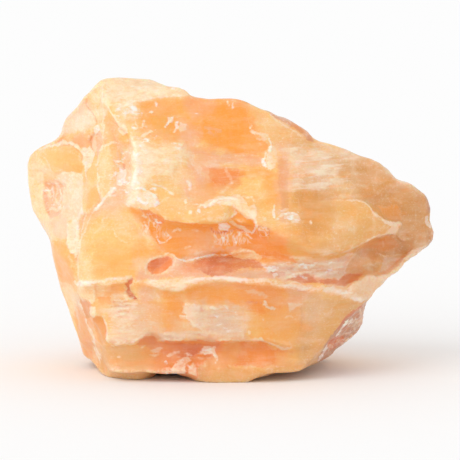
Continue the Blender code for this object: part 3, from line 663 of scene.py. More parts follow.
DETAILS[T.CREAM] = patches(
    (2, 0.85, 0.1, (82, 148), (90, 146), (95, 155), (92, 166), (86, 176), (85, 160)),
    (3, 0.85, 0.3, (68, 224), (78, 218), (80, 236), (79, 250), (76, 256), (70, 252), (67, 244)),
    (2, 0.8, 0.1, (119, 125), (127, 126), (129, 134), (124, 136), (119, 131)),
    (3, 0.6, 0.1, (127, 186), (134, 172), (144, 184), (150, 192), (158, 196), (159, 204), (148, 210),
     (136, 208), (127, 205)),
    (1.5, 0.7, 0.15, (144, 193), (150, 190), (156, 194), (160, 201), (157, 208), (150, 206), (146, 200)),
    (2.5, 0.75, 0.15, (198, 208), (208, 201), (218, 196), (228, 197), (240, 194), (245, 199), (248, 206),
     (255, 204), (257, 209), (255, 221), (247, 218), (240, 213), (236, 208), (228, 206), (212, 206)),
    (1.5, 0.6, 0.1, (404, 259), (411, 252), (420, 248), (430, 246), (424, 255), (412, 261)),
    (1.5, 0.85, 0.15, (91, 306), (96, 307), (97, 314), (94, 318), (91, 315)),
    (1.5, 0.75, 0.15, (171, 370), (174, 363), (182, 357), (188, 356), (192, 360), (186, 364), (186, 373),
     (174, 374)),
    (1.5, 0.6, 0.1, (188, 374), (189, 366), (194, 362), (197, 368), (196, 375)),
    (1.5, 0.9, 0.1, (197, 354), (202, 350), (204, 346), (217, 345.5), (216, 351), (218, 358), (212, 355),
     (204, 354)),
) + faded(
    (2.5, 0.7, 0.05, (268, 162), (286, 158), (266, 155), (270, 146), (276, 146), (279, 158), (276, 169),
     (270, 172), (266, 168)),
    (1.5, 0.5, 0.15, (190, 312), (206, 322), (184, 307), (194, 306), (200, 305), (201, 312), (205, 318),
     (200, 322), (197, 326), (192, 324), (190, 320), (186, 318), (187, 313), (183, 312)),
) + lines(
    (0.4, 0.05, 1.6, (40, 156), (46, 161), (50, 169)),
    (0.4, 0.05, 1.6, (44, 168), (52, 171), (62, 170)),
    (0.85, 0.15, 3.2, (50, 147), (62, 141), (70, 143), (78, 147), (84, 155), (86, 166), (87, 178)),
    (0.6, 0.1, 1.6, (104, 84), (103, 100), (105, 112), (104, 130), (104, 144)),
    (0.5, 0.05, 1.4, (94, 100), (97, 112), (101, 122), (104, 132)),
    (0.8, 0.1, 2.2, (100, 152), (104, 146), (112, 144), (118, 143)),
    (0.6, 0.1, 2.2, (46, 212), (52, 208), (57, 210), (61, 206)),
    (0.6, 0.1, 2.2, (56, 182), (57, 190), (54, 198), (57, 204)),
    (0.6, 0.1, 2, (44, 186), (48, 192), (47, 198)),
    (0.6, 0, 2, (60, 174), (72, 172), (82, 176)),
    (0.6, 0.1, 1.8, (28, 152), (44, 146), (60, 144)),
    (0.85, 0.1, 1.6, (100, 154), (98, 166), (99, 184), (101, 198)),
    (0.6, 0.05, 1.6, (94, 212), (87, 226), (81, 242), (79, 256), (79, 272), (81, 280)),
    (0.55, 0.05, 1.6, (113, 227), (115, 235), (121, 240), (130, 243)),
    (0.5, 0, 1.8, (103, 223), (105, 218), (109, 216)),
    (0.75, 0.1, 1.8, (124, 103), (140, 101), (156, 99), (172, 96.5), (188, 96)),
    (0.6, 0.05, 1.6, (124, 86), (140, 88), (156, 87), (169, 88)),
    (0.8, 0.1, 2, (116, 105), (124, 106), (131, 104)),
    (0.8, 0.1, 2, (106, 105), (112, 114), (118, 122), (125, 131)),
    (0.8, 0.1, 3, (124, 114), (125, 119)),
    (0.8, 0.1, 3.4, (131, 104), (134, 107)),
    (0.6, 0.1, 2.6, (128, 112), (136, 113), (139, 116)),
    (0.7, 0.1, 1.8, (136, 122), (139, 128)),
    (0.7, 0.1, 3, (145, 120), (143, 127)),
    (0.7, 0.1, 3, (142, 138), (148, 134), (154, 132)),
    (0.6, 0.1, 2.4, (226, 102), (229, 106)),
    (0.7, 0.1, 2, (133, 140), (136, 148), (140, 156)),
    (0.5, 0, 1.6, (158, 206), (164, 201), (170, 198)),
    (0.6, 0.05, 2.4, (178, 212), (184, 214)),
    (0.6, 0.1, 1.8, (244, 196), (252, 196), (256, 202)),
    (0.8, 0.1, 1.8, (234, 210), (237, 213), (232, 218)),
    (0.7, 0.1, 1.8, (253, 221), (257, 225), (255, 231)),
    (0.35, 0, 1.6, (234, 155), (246, 156), (258, 155)),
    (0.5, 0, 1.6, (250, 132), (258, 132), (266, 134)),
    (0.7, 0, 2.4, (256, 139), (262, 140), (269, 139)),
    (0.6, 0.1, 2, (249, 129), (251, 124)),
    (0.35, 0, 1.4, (258, 145), (264, 146)),
    (0.7, 0.1, 1.6, (143, 215), (150, 220), (156, 224)),
    (0.6, 0.1, 1.6, (145, 222), (148, 228), (146, 233)),
    (0.55, 0, 2.4, (174, 232), (178, 229), (183, 231)),
    (0.5, 0, 2.6, (185, 247), (191, 246)),
    (0.3, 0, 2.4, (192, 230), (198, 230)),
    (0.5, 0, 1.4, (281, 211), (290, 209)),
    (0.7, 0.05, 2.8, (263, 217), (266, 219)),
    (0.8, 0.05, 3, (309, 222), (311, 223)),
    (0.6, 0.1, 1.6, (222, 255), (232, 253), (242, 250), (250, 251)),
    (0.6, 0.12, 1.6, (148, 274), (146, 268), (149, 261), (155, 256.5), (162, 254.8), (169, 253.8),
     (174.5, 256), (176, 261), (173, 268)),
    (0.75, 0.1, 1.8, (284, 279), (294, 274), (306, 271), (322, 269)),
    (0.6, 0.1, 1.8, (286, 285), (294, 281), (301, 282)),
    (0.6, 0.15, 1.8, (114, 299), (122, 300), (133, 298)),
    (0.55, 0.15, 1.4, (117, 303), (125, 304), (131, 303)),
    (0.6, 0.15, 1.6, (113, 309), (120, 308), (130, 309)),
    (0.6, 0.15, 2.4, (112, 318), (118, 315), (127, 313)),
    (0.4, 0.1, 2, (116, 325), (123, 327), (132, 324)),
    (0.4, 0.1, 2, (115, 339), (124, 341), (136, 338)),
    (0.5, 0.1, 1.6, (155, 291), (160, 297), (159, 303)),
    (0.4, 0.1, 1.6, (150, 293), (154, 300)),
    (0.3, 0.1, 1.6, (140, 294), (148, 293)),
    (0.8, 0.1, 1.6, (184, 304.5), (193, 304.5)),
    (0.6, 0.1, 2, (180, 315), (186, 316), (191, 320), (197, 326)),
    (0.7, 0.1, 1.6, (184, 305), (192, 304), (196, 306)),
    (0.6, 0.1, 1.6, (192, 322), (198, 326), (204, 331)),
    (0.6, 0, 2.4, (208, 306), (214, 306), (216, 311)),
    (0.7, 0, 2.6, (236, 313), (238, 314)),
    (0.5, 0, 2.4, (181, 315), (186, 318)),
    (0.4, 0, 1.6, (284, 317), (290, 316), (296, 320)),
    (0.8, 0, 3, (248, 332), (250, 331)),
    (0.7, 0, 2.4, (263, 318), (264, 319)),
    (0.85, 0.15, 2.2, (79, 300), (83, 312), (88, 325), (93, 337), (95, 350), (101, 366)),
    (0.7, 0.15, 1.8, (103, 316), (107, 325), (108, 338), (111, 346)),
    (0.7, 0.1, 2.4, (166, 356), (173, 353), (180, 352)),
    (0.6, 0.1, 1.8, (184, 352), (192, 355)),
    (0.6, 0.1, 2, (213, 354), (217, 359), (214, 363)),
    (0.6, 0.1, 2.6, (117, 356), (120, 357)),
    (0.6, 0.2, 1.8, (216, 340.5), (228, 340), (240, 340)),
    (0.6, 0.2, 1.8, (158, 339), (170, 339), (184, 340)),
    (0.6, 0.2, 1.8, (111, 346), (119, 343), (132, 343), (138, 339), (144, 334), (150, 333)),
    (0.6, 0.1, 2.4, (342, 347), (350, 341), (358, 335)),
) + lines(
    (0.55, 0.05, 3.4, (249, 131), (257, 133), (268, 137)),
    (0.45, 0, 3, (178, 152), (181, 158), (182, 166)),
    (0.3, 0, 5, (190, 160), (197, 166), (201, 174)),
    (0.35, 0, 3, (226, 168), (228, 176), (232, 184)),
    (0.35, 0, 3, (232, 182), (228, 188), (220, 193)),
    (0.6, 0, 2.6, (268, 269), (282, 267), (298, 266), (318, 264), (336, 262)),
    (0.6, 0, 2.6, (314, 276), (324, 274), (338, 270)),
    (0.5, 0, 2.4, (290, 256), (300, 258), (312, 257)),
    soft=2,
)
DETAILS[T.FROST] = patches(
    (1.5, 0.85, 0.2, (94, 127), (99, 126), (100, 131), (96, 134), (94, 131)),
    (1.5, 0.75, 0.1, (120, 172), (127, 170), (126, 180), (121, 186), (117, 184)),
    (1.5, 0.95, 0.2, (111, 188), (117, 187), (119, 191), (112, 196)),
    (1.5, 0.75, 0.1, (168, 117), (173, 116), (173, 123), (169, 124)),
    (1.5, 0.75, 0.1, (219, 224), (227, 222), (231, 226), (227, 231), (220, 231)),
) + lines(
    (0.6, 0.1, 1.8, (50, 186), (53, 194), (51, 200)),
    (0.6, 0.1, 1.8, (58, 186), (61, 196), (58, 206)),
    (0.5, 0.1, 1.6, (45, 184), (52, 183), (60, 184)),
    (0.6, 0.1, 1.4, (88, 212), (85, 222), (81, 234)),
    (0.9, 0.15, 3, (116, 189), (108, 197), (101, 204), (93, 214)),
    (0.7, 0.1, 3.4, (173, 88), (174, 91)),
    (0.8, 0.1, 2.2, (156, 104), (157, 107)),
    (0.7, 0.1, 3, (149, 113), (153, 112)),
    (0.6, 0.1, 2.2, (192, 113), (197, 114)),
    (0.75, 0.1, 1.8, (169, 123), (165, 128)),
    (0.8, 0.1, 2.4, (179, 121), (176, 125), (178, 128), (174, 133)),
    (0.6, 0.1, 1.8, (232, 104), (233, 108)),
    (0.6, 0.1, 1.8, (172, 144), (180, 145), (184, 144)),
    (0.6, 0.1, 1.8, (175, 148), (182, 149)),
    (0.6, 0.1, 2, (158, 147), (161, 149)),
    (0.6, 0.1, 2, (145, 196), (148, 202), (146, 206)),
    (0.6, 0.1, 2.2, (152, 192), (157, 197), (156, 204)),
    (0.7, -0.1, 1.8, (152, 184), (160, 187), (168, 191), (174, 196)),
    (0.8, 0.1, 3.4, (185, 200), (187, 202)),
    (0.85, 0.1, 3.6, (190, 213), (192, 212)),
    (0.9, 0.1, 4.6, (199, 212), (201, 210)),
    (0.85, 0.1, 3.2, (205, 207), (207, 206)),
    (0.8, 0.1, 2.6, (211, 206), (213, 203)),
    (0.7, 0.1, 2, (211, 205), (214, 202), (220, 199)),
    (0.75, 0.1, 1.6, (252, 217), (256, 222), (255, 229), (252, 233)),
    (0.85, 0.1, 2.2, (268, 138), (271, 142), (271, 148), (268, 153)),
    (0.9, 0.1, 2.4, (266, 153), (264, 160), (265, 168)),
    (0.7, 0.1, 1.4, (262, 158), (261, 167)),
    (0.75, 0.1, 1.5, (158, 230), (157, 238), (161, 243), (167, 243), (171, 238), (168, 232)),
    (0.6, 0.1, 1.4, (165, 234), (169, 239)),
    (0.8, 0.1, 2, (155, 218), (158, 222), (162, 223)),
    (0.75, 0.1, 2.2, (222, 236), (223, 242)),
    (0.75, 0.1, 1.8, (227, 234), (228, 240), (226, 244)),
    (0.75, 0.1, 1.8, (232, 234), (235, 239), (236, 244)),
    (0.75, 0.1, 1.8, (238, 231), (241, 236), (240, 242)),
    (0.7, 0.1, 1.8, (244, 231), (247, 236), (252, 239)),
    (0.65, 0.1, 1.6, (258, 229), (264, 231), (267, 237)),
    (0.7, 0.05, 2.2, (274, 205), (273, 212), (274, 219)),
    (0.85, 0.1, 2.2, (276, 220), (281, 215), (288, 213), (297, 214)),
    # Painted highlight on the right end's rim
    (0.7, 0.1, 2.8, (429, 216), (428, 221), (431, 227)),
    (0.8, 0.12, 1.8, (174, 256.5), (180, 259), (186, 260.5), (196, 259), (204, 256.5), (213, 254.5),
     (222, 254), (233, 254)),
    (0.8, 0.05, 3.6, (273, 274), (277, 275)),
    (0.7, 0.1, 2.6, (224, 306.5), (227, 308.5)),
    (0.5, 0.1, 1.6, (188, 364), (190, 368), (194, 366)),
    (0.6, 0.1, 2.4, (199, 352), (206, 350), (215, 348)),
    (0.6, 0.1, 2, (204, 354), (212, 352), (216, 356)),
    (1, 0.2, 2.4, (336, 338), (341, 331), (345, 325), (351, 319)),
    (1, 0.2, 2.4, (317, 361), (323, 355), (328, 347)),
) + lines(
    (0.6, 0.1, 2.4, (83, 208), (79, 220), (77, 234)),
    (0.6, 0, 2.8, (188, 180), (191, 184), (190, 190)),
    (0.4, 0.1, 2.6, (210, 205), (218, 200), (228, 198), (240, 200)),
    (0.7, 0.1, 3.6, (84, 283), (92, 285)),
    (0.8, 0.1, 3.6, (74, 283), (78, 284)),
    (0.5, 0.1, 2.6, (210, 305), (216, 309), (222, 307)),
    soft=2,
) + lines(
    (0.7, 0.15, 4.5, (135, 152), (138, 162), (137, 176), (133, 190)),
    soft=3,
)
# Painted shade: purple-brown on the right end's rim, where the surface turns away from the light
DETAILS[T.BROWN] = patches((3, 0.35, 0, (427, 196), (431, 204), (430, 213), (444, 213), (444, 192)))

# The milky vein along the ledge, and the white column below the top block
VEINED = areas(
    (2, 0.65, (76, 285), (80, 280), (100, 279), (116, 277), (131, 274), (134, 277), (118, 281), (100, 283),
     (84, 287)),
    (5, 0.5, (284, 284), (300, 282), (320, 284), (344, 288), (366, 298), (360, 303), (340, 297), (316, 292),
     (292, 290)),
    (3, 0.35, (132, 150), (138, 149), (141, 160), (143, 170), (141, 179), (136, 184), (134, 172),
     (131, 160)),
) + lines(
    (0.55, 0, 2.6, (144, 281), (160, 280), (176, 281), (190, 282), (202, 280)),
    (0.85, 0, 3.2, (188, 282), (206, 279), (216, 277.5), (226, 277), (246, 279)),
) + lines(
    (0.6, 0, 4.2, (222, 277), (244, 280.5), (256, 280), (264, 280), (272, 283), (282, 285), (292, 286),
     (310, 285)),
    soft=2,
) + lines(
    (0.6, 0, 3.4, (326, 289), (346, 294), (362, 301)),
    soft=2.5,
)

# Where a hollow of the solid is deeper than the real one
FILLED = areas(
    (4, 1, (86, 104), (130, 104), (134, 200), (114, 200), (100, 156), (86, 156)),
    (4, 0.9, (384, 232), (416, 232), (414, 262), (396, 278), (376, 276)),
    (3, 0.7, (96, 282), (130, 280), (128, 300), (98, 304)),
    (3, 1, (36, 166), (86, 166), (86, 184), (36, 184)),
    (4, 0.5, (134, 208), (200, 218), (236, 222), (236, 250), (160, 250)),
    (3, 0.5, (184, 256), (262, 252), (268, 276), (196, 276)),
    (4, 0.7, (110, 338), (150, 338), (150, 372), (110, 372)),
)

# Where a step of the solid is bolder than the real one
EVENED = areas(
    (4, 1, (88, 220), (104, 203), (118, 192), (132, 194), (142, 206), (148, 214), (130, 222), (104, 222),
     (92, 240), (86, 256), (80, 248)),
    (3, 1, (101, 150), (122, 146), (124, 190), (106, 200), (100, 180)),
    (5, 1, (256, 224), (306, 230), (334, 240), (334, 262), (296, 264), (268, 248)),
    (4, 0.6, (142, 252), (180, 250), (182, 278), (144, 280)),
    (4, 0.85, (44, 164), (60, 166), (88, 166), (88, 184), (60, 182), (44, 180)),
)

# Where painted shade darkens the lower and right stretches of the front
SHADE_AND_DARK_PATCHES = areas(
    (8, 0.55, (166, 286), (300, 286), (374, 300), (344, 360), (300, 392), (186, 392), (158, 345)),
    (9, 0.5, (206, 232), (330, 240), (440, 190), (450, 262), (370, 290), (210, 286)),
    (5, 0.6, (280, 268), (376, 262), (392, 276), (372, 304), (284, 292)),
    (6, 0.5, (194, 266), (262, 266), (300, 286), (302, 336), (190, 338), (186, 290)),
    (6, 0.4, (112, 288), (172, 286), (176, 342), (112, 344)),
    (6, 0.7, (404, 186), (450, 186), (450, 262), (400, 262)),
    (5, 0.35, (76, 296), (92, 300), (110, 318), (110, 350), (104, 372), (82, 364), (76, 330)),
)

# Where small white chips lie thick
CHIPPED = areas(
    (5, 0.55, (108, 104), (138, 102), (150, 124), (128, 138), (116, 122)),
    (4, 0.7, (140, 184), (160, 186), (162, 208), (140, 208)),
    (4, 0.7, (142, 126), (158, 126), (162, 142), (142, 142)),
    (4, 0.4, (170, 116), (186, 118), (186, 134), (174, 136)),
    (5, 0.6, (128, 140), (146, 142), (152, 170), (136, 206), (126, 204)),
    (8, 0.3, (288, 152), (340, 158), (344, 186), (292, 190)),
    (3, 0.7, (272, 211), (288, 208), (302, 212), (300, 222), (276, 222)),
    (5, 0.4, (184, 306), (248, 304), (248, 340), (204, 338)),
    (5, 0.6, (160, 354), (196, 350), (198, 376), (164, 376)),
    (4, 0.6, (198, 345), (222, 344), (220, 358), (200, 358)),
    (4, 0.6, (262, 264), (340, 258), (340, 276), (272, 280)),
    (4, 0.7, (40, 180), (64, 178), (64, 208), (46, 212)),
    (4, 0.7, (112, 150), (130, 150), (128, 190), (110, 198)),
    (3, 0.5, (186, 204), (212, 202), (212, 216), (190, 218)),
    (4, 0.5, (340, 340), (360, 330), (366, 312), (354, 312), (336, 334)),
)

# Where curly white scratches lie
SCRATCHED = areas(
    (4, 0.5, (152, 224), (168, 222), (176, 232), (170, 246), (154, 242)),
    (3, 1, (212, 230), (226, 230), (254, 230), (252, 244), (214, 246)),
    (3, 1, (256, 226), (270, 226), (268, 238), (258, 238)),
    (3, 0.7, (142, 211), (158, 214), (160, 226), (144, 236)),
    (4, 0.4, (116, 218), (144, 216), (146, 236), (122, 238)),
)

# Where the surface is broken into small crumbs
CRUMBLED = areas(
    (4, 0.6, (396, 262), (404, 240), (426, 232), (444, 226), (444, 262), (412, 280)),
    (4, 0.7, (352, 300), (366, 276), (392, 268), (400, 276), (376, 312)),
    (4, 1, (316, 366), (330, 340), (366, 300), (380, 304), (374, 344), (322, 376)),
    (4, 0.6, (182, 302), (216, 302), (216, 342), (156, 342), (156, 330), (196, 330)),
    (4, 0.6, (160, 376), (162, 352), (224, 344), (224, 360), (198, 378)),
    (4, 0.4, (212, 222), (258, 224), (256, 246), (212, 248)),
    (4, 0.6, (38, 178), (66, 178), (66, 212), (60, 220)),
    (4, 0.4, (262, 262), (350, 252), (346, 282), (270, 282)),
    (4, 0.4, (66, 284), (104, 288), (112, 344), (96, 366), (72, 330)),
)

# Where the stone shows its fine layers
LAYERED = areas(
    (4, 0.8, (106, 292), (138, 292), (140, 340), (110, 340)),
    (4, 0.9, (264, 256), (350, 248), (346, 284), (284, 286)),
    (8, 1, (290, 140), (352, 150), (354, 192), (290, 194)),
    (6, 0.6, (200, 152), (264, 154), (264, 180), (206, 178)),
    (6, 0.5, (140, 140), (186, 142), (184, 172), (142, 176)),
    (5, 0.5, (184, 304), (250, 304), (248, 338), (190, 336)),
    (4, 0.5, (324, 354), (330, 340), (366, 304), (372, 340), (330, 366)),
)


def linear(red: float, green: float, blue: float) -> Colour:
    """A colour as a screen shows it, 0 to 255, turned into the linear values that shaders use.

    Args:
        red, green, blue: the colour on the screen.

    Returns:
        The linear colour.
    """
    share = np.array([red, green, blue]) / 255.0
    low = share / 12.92
    high = ((share + 0.055) / 1.055) ** 2.4
    return tuple(float(v) for v in np.where(share <= 0.04045, low, high))


def smooth(value: np.ndarray, low: float, high: float) -> np.ndarray:
    """0 below low, 1 above high, and a smooth step between."""
    share = np.clip((value - low) / (high - low), 0.0, 1.0)
    return share * share * (3.0 - 2.0 * share)


def wander(points: np.ndarray, size: float, shift: float) -> np.ndarray:
    """Smooth noise at each point.

    Args:
        points: an array of points, in metres.
        size: the size of the noise's features, in metres.
        shift: moves the noise, so that two uses differ.

    Returns:
        One value from -1 to 1 for each point.
    """
    away = Vector((shift, shift, shift))
    return np.array([noise.noise(Vector(p) / size + away) for p in points])


def depth_inside(places: np.ndarray, outline: Outline) -> np.ndarray:
    """How far each drawn place lies inside a closed outline.

    Args:
        places: an array of drawn places.
        outline: the outline's corners.

    Returns:
        The distance to the outline in drawing units, below 0 outside it.
    """
    ends = np.array(outline, float)
    starts = np.roll(ends, 1, axis=0)
    nearest = np.full(len(places), 1e9)
    inside = np.zeros(len(places), bool)
    for a, b in zip(starts, ends):
        along = b - a
        share = np.clip((places - a) @ along / (along @ along), 0.0, 1.0)
        nearest = np.minimum(nearest, np.linalg.norm(places - a - share[:, None] * along, axis=1))
        if a[1] != b[1]:
            crosses = (a[1] > places[:, 1]) != (b[1] > places[:, 1])
            at = a[0] + (places[:, 1] - a[1]) * along[0] / along[1]
            inside ^= crosses & (places[:, 0] < at)
    return np.where(inside, nearest, -nearest)


def distance_to_course(places: np.ndarray, course: Outline) -> tuple[np.ndarray, np.ndarray]:
    """How far each drawn place lies from an open line.

    Args:
        places: an array of drawn places.
        course: the line's points.

    Returns:
        The distance in drawing units, and how near the line's ends the nearest point is, from 0 there to 1.
    """
    points = np.array(course, float)
    spans = np.linalg.norm(points[1:] - points[:-1], axis=1)
    total = spans.sum()
    nearest = np.full(len(places), 1e9)
    run = np.zeros(len(places))
    before = 0.0
    for a, b, span in zip(points[:-1], points[1:], spans):
        share = np.clip((places - a) @ (b - a) / (span * span), 0.0, 1.0)
        away = np.linalg.norm(places - a - share[:, None] * (b - a), axis=1)
        closer = away < nearest
        nearest = np.where(closer, away, nearest)
        run = np.where(closer, before + share * span, run)
        before += span
    middle = 1.0 - np.abs(2.0 * run / total - 1.0)
    return nearest, middle


def deselect_all() -> None:
    """Leaves nothing selected."""
    for piece in bpy.context.view_layer.objects:
        piece.select_set(False)


def make_active(piece: bpy.types.Object) -> None:
    """Selects one object alone and makes it the active one.

    Args:
        piece: the object.
    """
    deselect_all()
    piece.select_set(True)
    bpy.context.view_layer.objects.active = piece


class Kind(Enum):
    """The kinds of layer, by the first word of their masks' names."""

    CLOUD = "cloud"
    SHAPE = "shape"


# How gently each kind of layer fades at its outline, up to 0.5
HALF_WINDOWS = {Kind.CLOUD: 0.42, Kind.SHAPE: 0.17}


@dataclass(frozen=True)
class Layer:
    """One coat of one tone: the shapes that it fills on the front, and how it lies on the far sides.

    There it has patches of a size in millimetres, which start from a value of the noise.
    """

    kind: Kind
    tone: Tone
    shapes: list[Shape]
    far_size: float
    far_from: float
    far_strength: float

    @property
    def name(self) -> str:
        """The name of the mask that holds how deep in the layer a place lies."""
        return f"{self.kind.value}_{self.tone.value}"

    @property
    def strength_name(self) -> str:
        """The name of the mask that holds the layer's strength."""
        return self.name + "_strength"

    @property
    def half_window(self) -> float:
        """How gently the layer fades at its outline."""
        return HALF_WINDOWS[self.kind]


def layers_of(kind: Kind, shapes: dict[Tone, list[Shape]],
              far: dict[Tone, tuple[float, float, float]]) -> list[Layer]:
    """Makes each tone's shapes a layer, in the order of the far table.

    Args:
        kind: what kind of layers they are.
        shapes: each tone's shapes.
        far: for each tone the size of its patches on the far sides in millimetres, the noise value that
            they start from, and their strength.

    Returns:
        The layers, the lowest first.
    """
    return [Layer(kind, tone, shapes.get(tone, []), *values) for tone, values in far.items()]


# The tones laid thicker in the far sides' hollows as painted shade, and those laid thicker on their ridges
# as painted light, which also have small gaps
DARK_TONES = (T.RUST, T.DEEP, T.PINK)
PALE_TONES = (T.CREAM, T.FROST, T.BUTTER)

# Which way the far sides' faces look where a tone is laid: in part painted light and shade, with cream and
# butter leaning to faces that look up, sand to faces that look right and orange to faces that look down
FAR_LIGHT_LEAN = {
    T.SAND: (0.35, 0.0, -0.1),
    T.AMBER: (0.0, 0.15, 0.1),
    T.ORANGE: (0.1, 0.1, -0.25),
    T.PINK: (-0.25, 0.0, -0.15),
    T.BEIGE: (0.1, 0.0, 0.25),
    T.BUTTER: (-0.2, 0.0, 0.3),
    T.CREAM: (0.0, 0.0, 0.35),
}

# All layers, the lowest first, with their patches on the far sides
LAYERS = layers_of(Kind.CLOUD, CLOUDS, {
    T.SAND: (30.0, 0.0, 0.9),
    T.AMBER: (26.0, -0.15, 1.0),
    T.ORANGE: (24.0, 0.0, 0.9),
    T.DEEP: (18.0, 0.2, 0.5),
    T.PINK: (18.0, 0.2, 0.7),
    T.BEIGE: (20.0, 0.24, 0.7),
    T.BUTTER: (20.0, 0.2, 0.8),
    T.GOLD: (22.0, 0.08, 0.8),
    T.SHELL: (16.0, 0.4, 0.5),
    T.OCHRE: (16.0, 0.3, 0.6),
    T.COPPER: (14.0, 0.42, 0.5),
    T.CREAM: (15.0, 0.34, 0.55),
    T.FROST: (12.0, 0.5, 0.6),
    T.BROWN: (16.0, 0.6, 0.3),
}) + layers_of(Kind.SHAPE, DETAILS, {
    T.UMBER: (16.0, 0.5, 0.3),
    T.TAN: (16.0, 0.4, 0.5),
    T.OCHRE: (15.0, 0.36, 0.6),
    T.COPPER: (14.0, 0.42, 0.6),
    T.PINK: (12.0, 0.32, 0.7),
    T.SHELL: (14.0, 0.42, 0.6),
    T.AMBER: (16.0, 0.22, 0.9),
    T.ORANGE: (15.0, 0.22, 0.6),
    T.BUTTER: (14.0, 0.36, 0.6),
    T.GOLD: (17.0, 0.26, 0.8),
    T.DEEP: (11.0, 0.34, 0.6),
    T.RUST: (9.0, 0.42, 0.6),
    T.BEIGE: (14.0, 0.38, 0.6),
    T.CREAM: (9.0, 0.4, 0.65),
    T.FROST: (9.0, 0.55, 0.6),
    T.BROWN: (14.0, 0.6, 0.3),
})


@dataclass(frozen=True)
class FarMark:
    """How a mark lies on the far sides: in patches of noise, with one strength inside and one outside."""

    size: float
    shift: Shift
    window: Window
    inside: float
    outside: float = 0.0

    def at(self, points: np.ndarray) -> np.ndarray:
        """The mark's strength at each point."""
        patches_here = smooth(wander(points, self.size, self.shift.value), *self.window)
        return self.outside + (self.inside - self.outside) * patches_here


# Each mark's shapes on the front, and how it lies on the far sides, if it does
MARKS: dict[Mark, tuple[list[Shape], FarMark | None]] = {
    Mark.CHIPPED: (CHIPPED, FarMark(16.0 * MM, Shift.CHIPS, (0.2, 0.45), 0.8)),
    Mark.SCRATCHED: (SCRATCHED, FarMark(14.0 * MM, Shift.SCRATCHES, (0.42, 0.55), 1.0)),
    Mark.LAYERED: (LAYERED, FarMark(22.0 * MM, Shift.FINE_LAYERS, (0.0, 0.3), 0.55)),
    Mark.VEINED: (VEINED, None),
    # Painted shade on the front, darker patches of noise on the far sides
    Mark.SHADE_AND_DARK_PATCHES: (SHADE_AND_DARK_PATCHES, FarMark(30.0 * MM, Shift.DUSK, (-0.2, 0.3), 0.65, 0.25)),
}


@dataclass(frozen=True)
class FarVein:
    """The white vein round the far sides: a wavy, slightly slanting band."""

    height: float = 26.0 * MM
    slant: float = 0.06
    half_width: float = 0.55 * MM
    fade: float = 1.5 * MM
    wave_size: float = 14.0 * MM
    wave_height: float = 2.2 * MM

    def at(self, points: np.ndarray, stretched: np.ndarray) -> np.ndarray:
        """How deep in the vein each point lies.

        Args:
            points: an array of points, in metres.
            stretched: the same points as the noise reads them.

        Returns:
            A value that is 0.5 on the vein's outline and more inside.
        """
        wave = self.wave_height * wander(stretched, self.wave_size, Shift.VEIN.value)
        level = points[:, 2] + self.slant * points[:, 0] + wave
        return 0.5 + (self.half_width - np.abs(level - self.height)) / self.fade


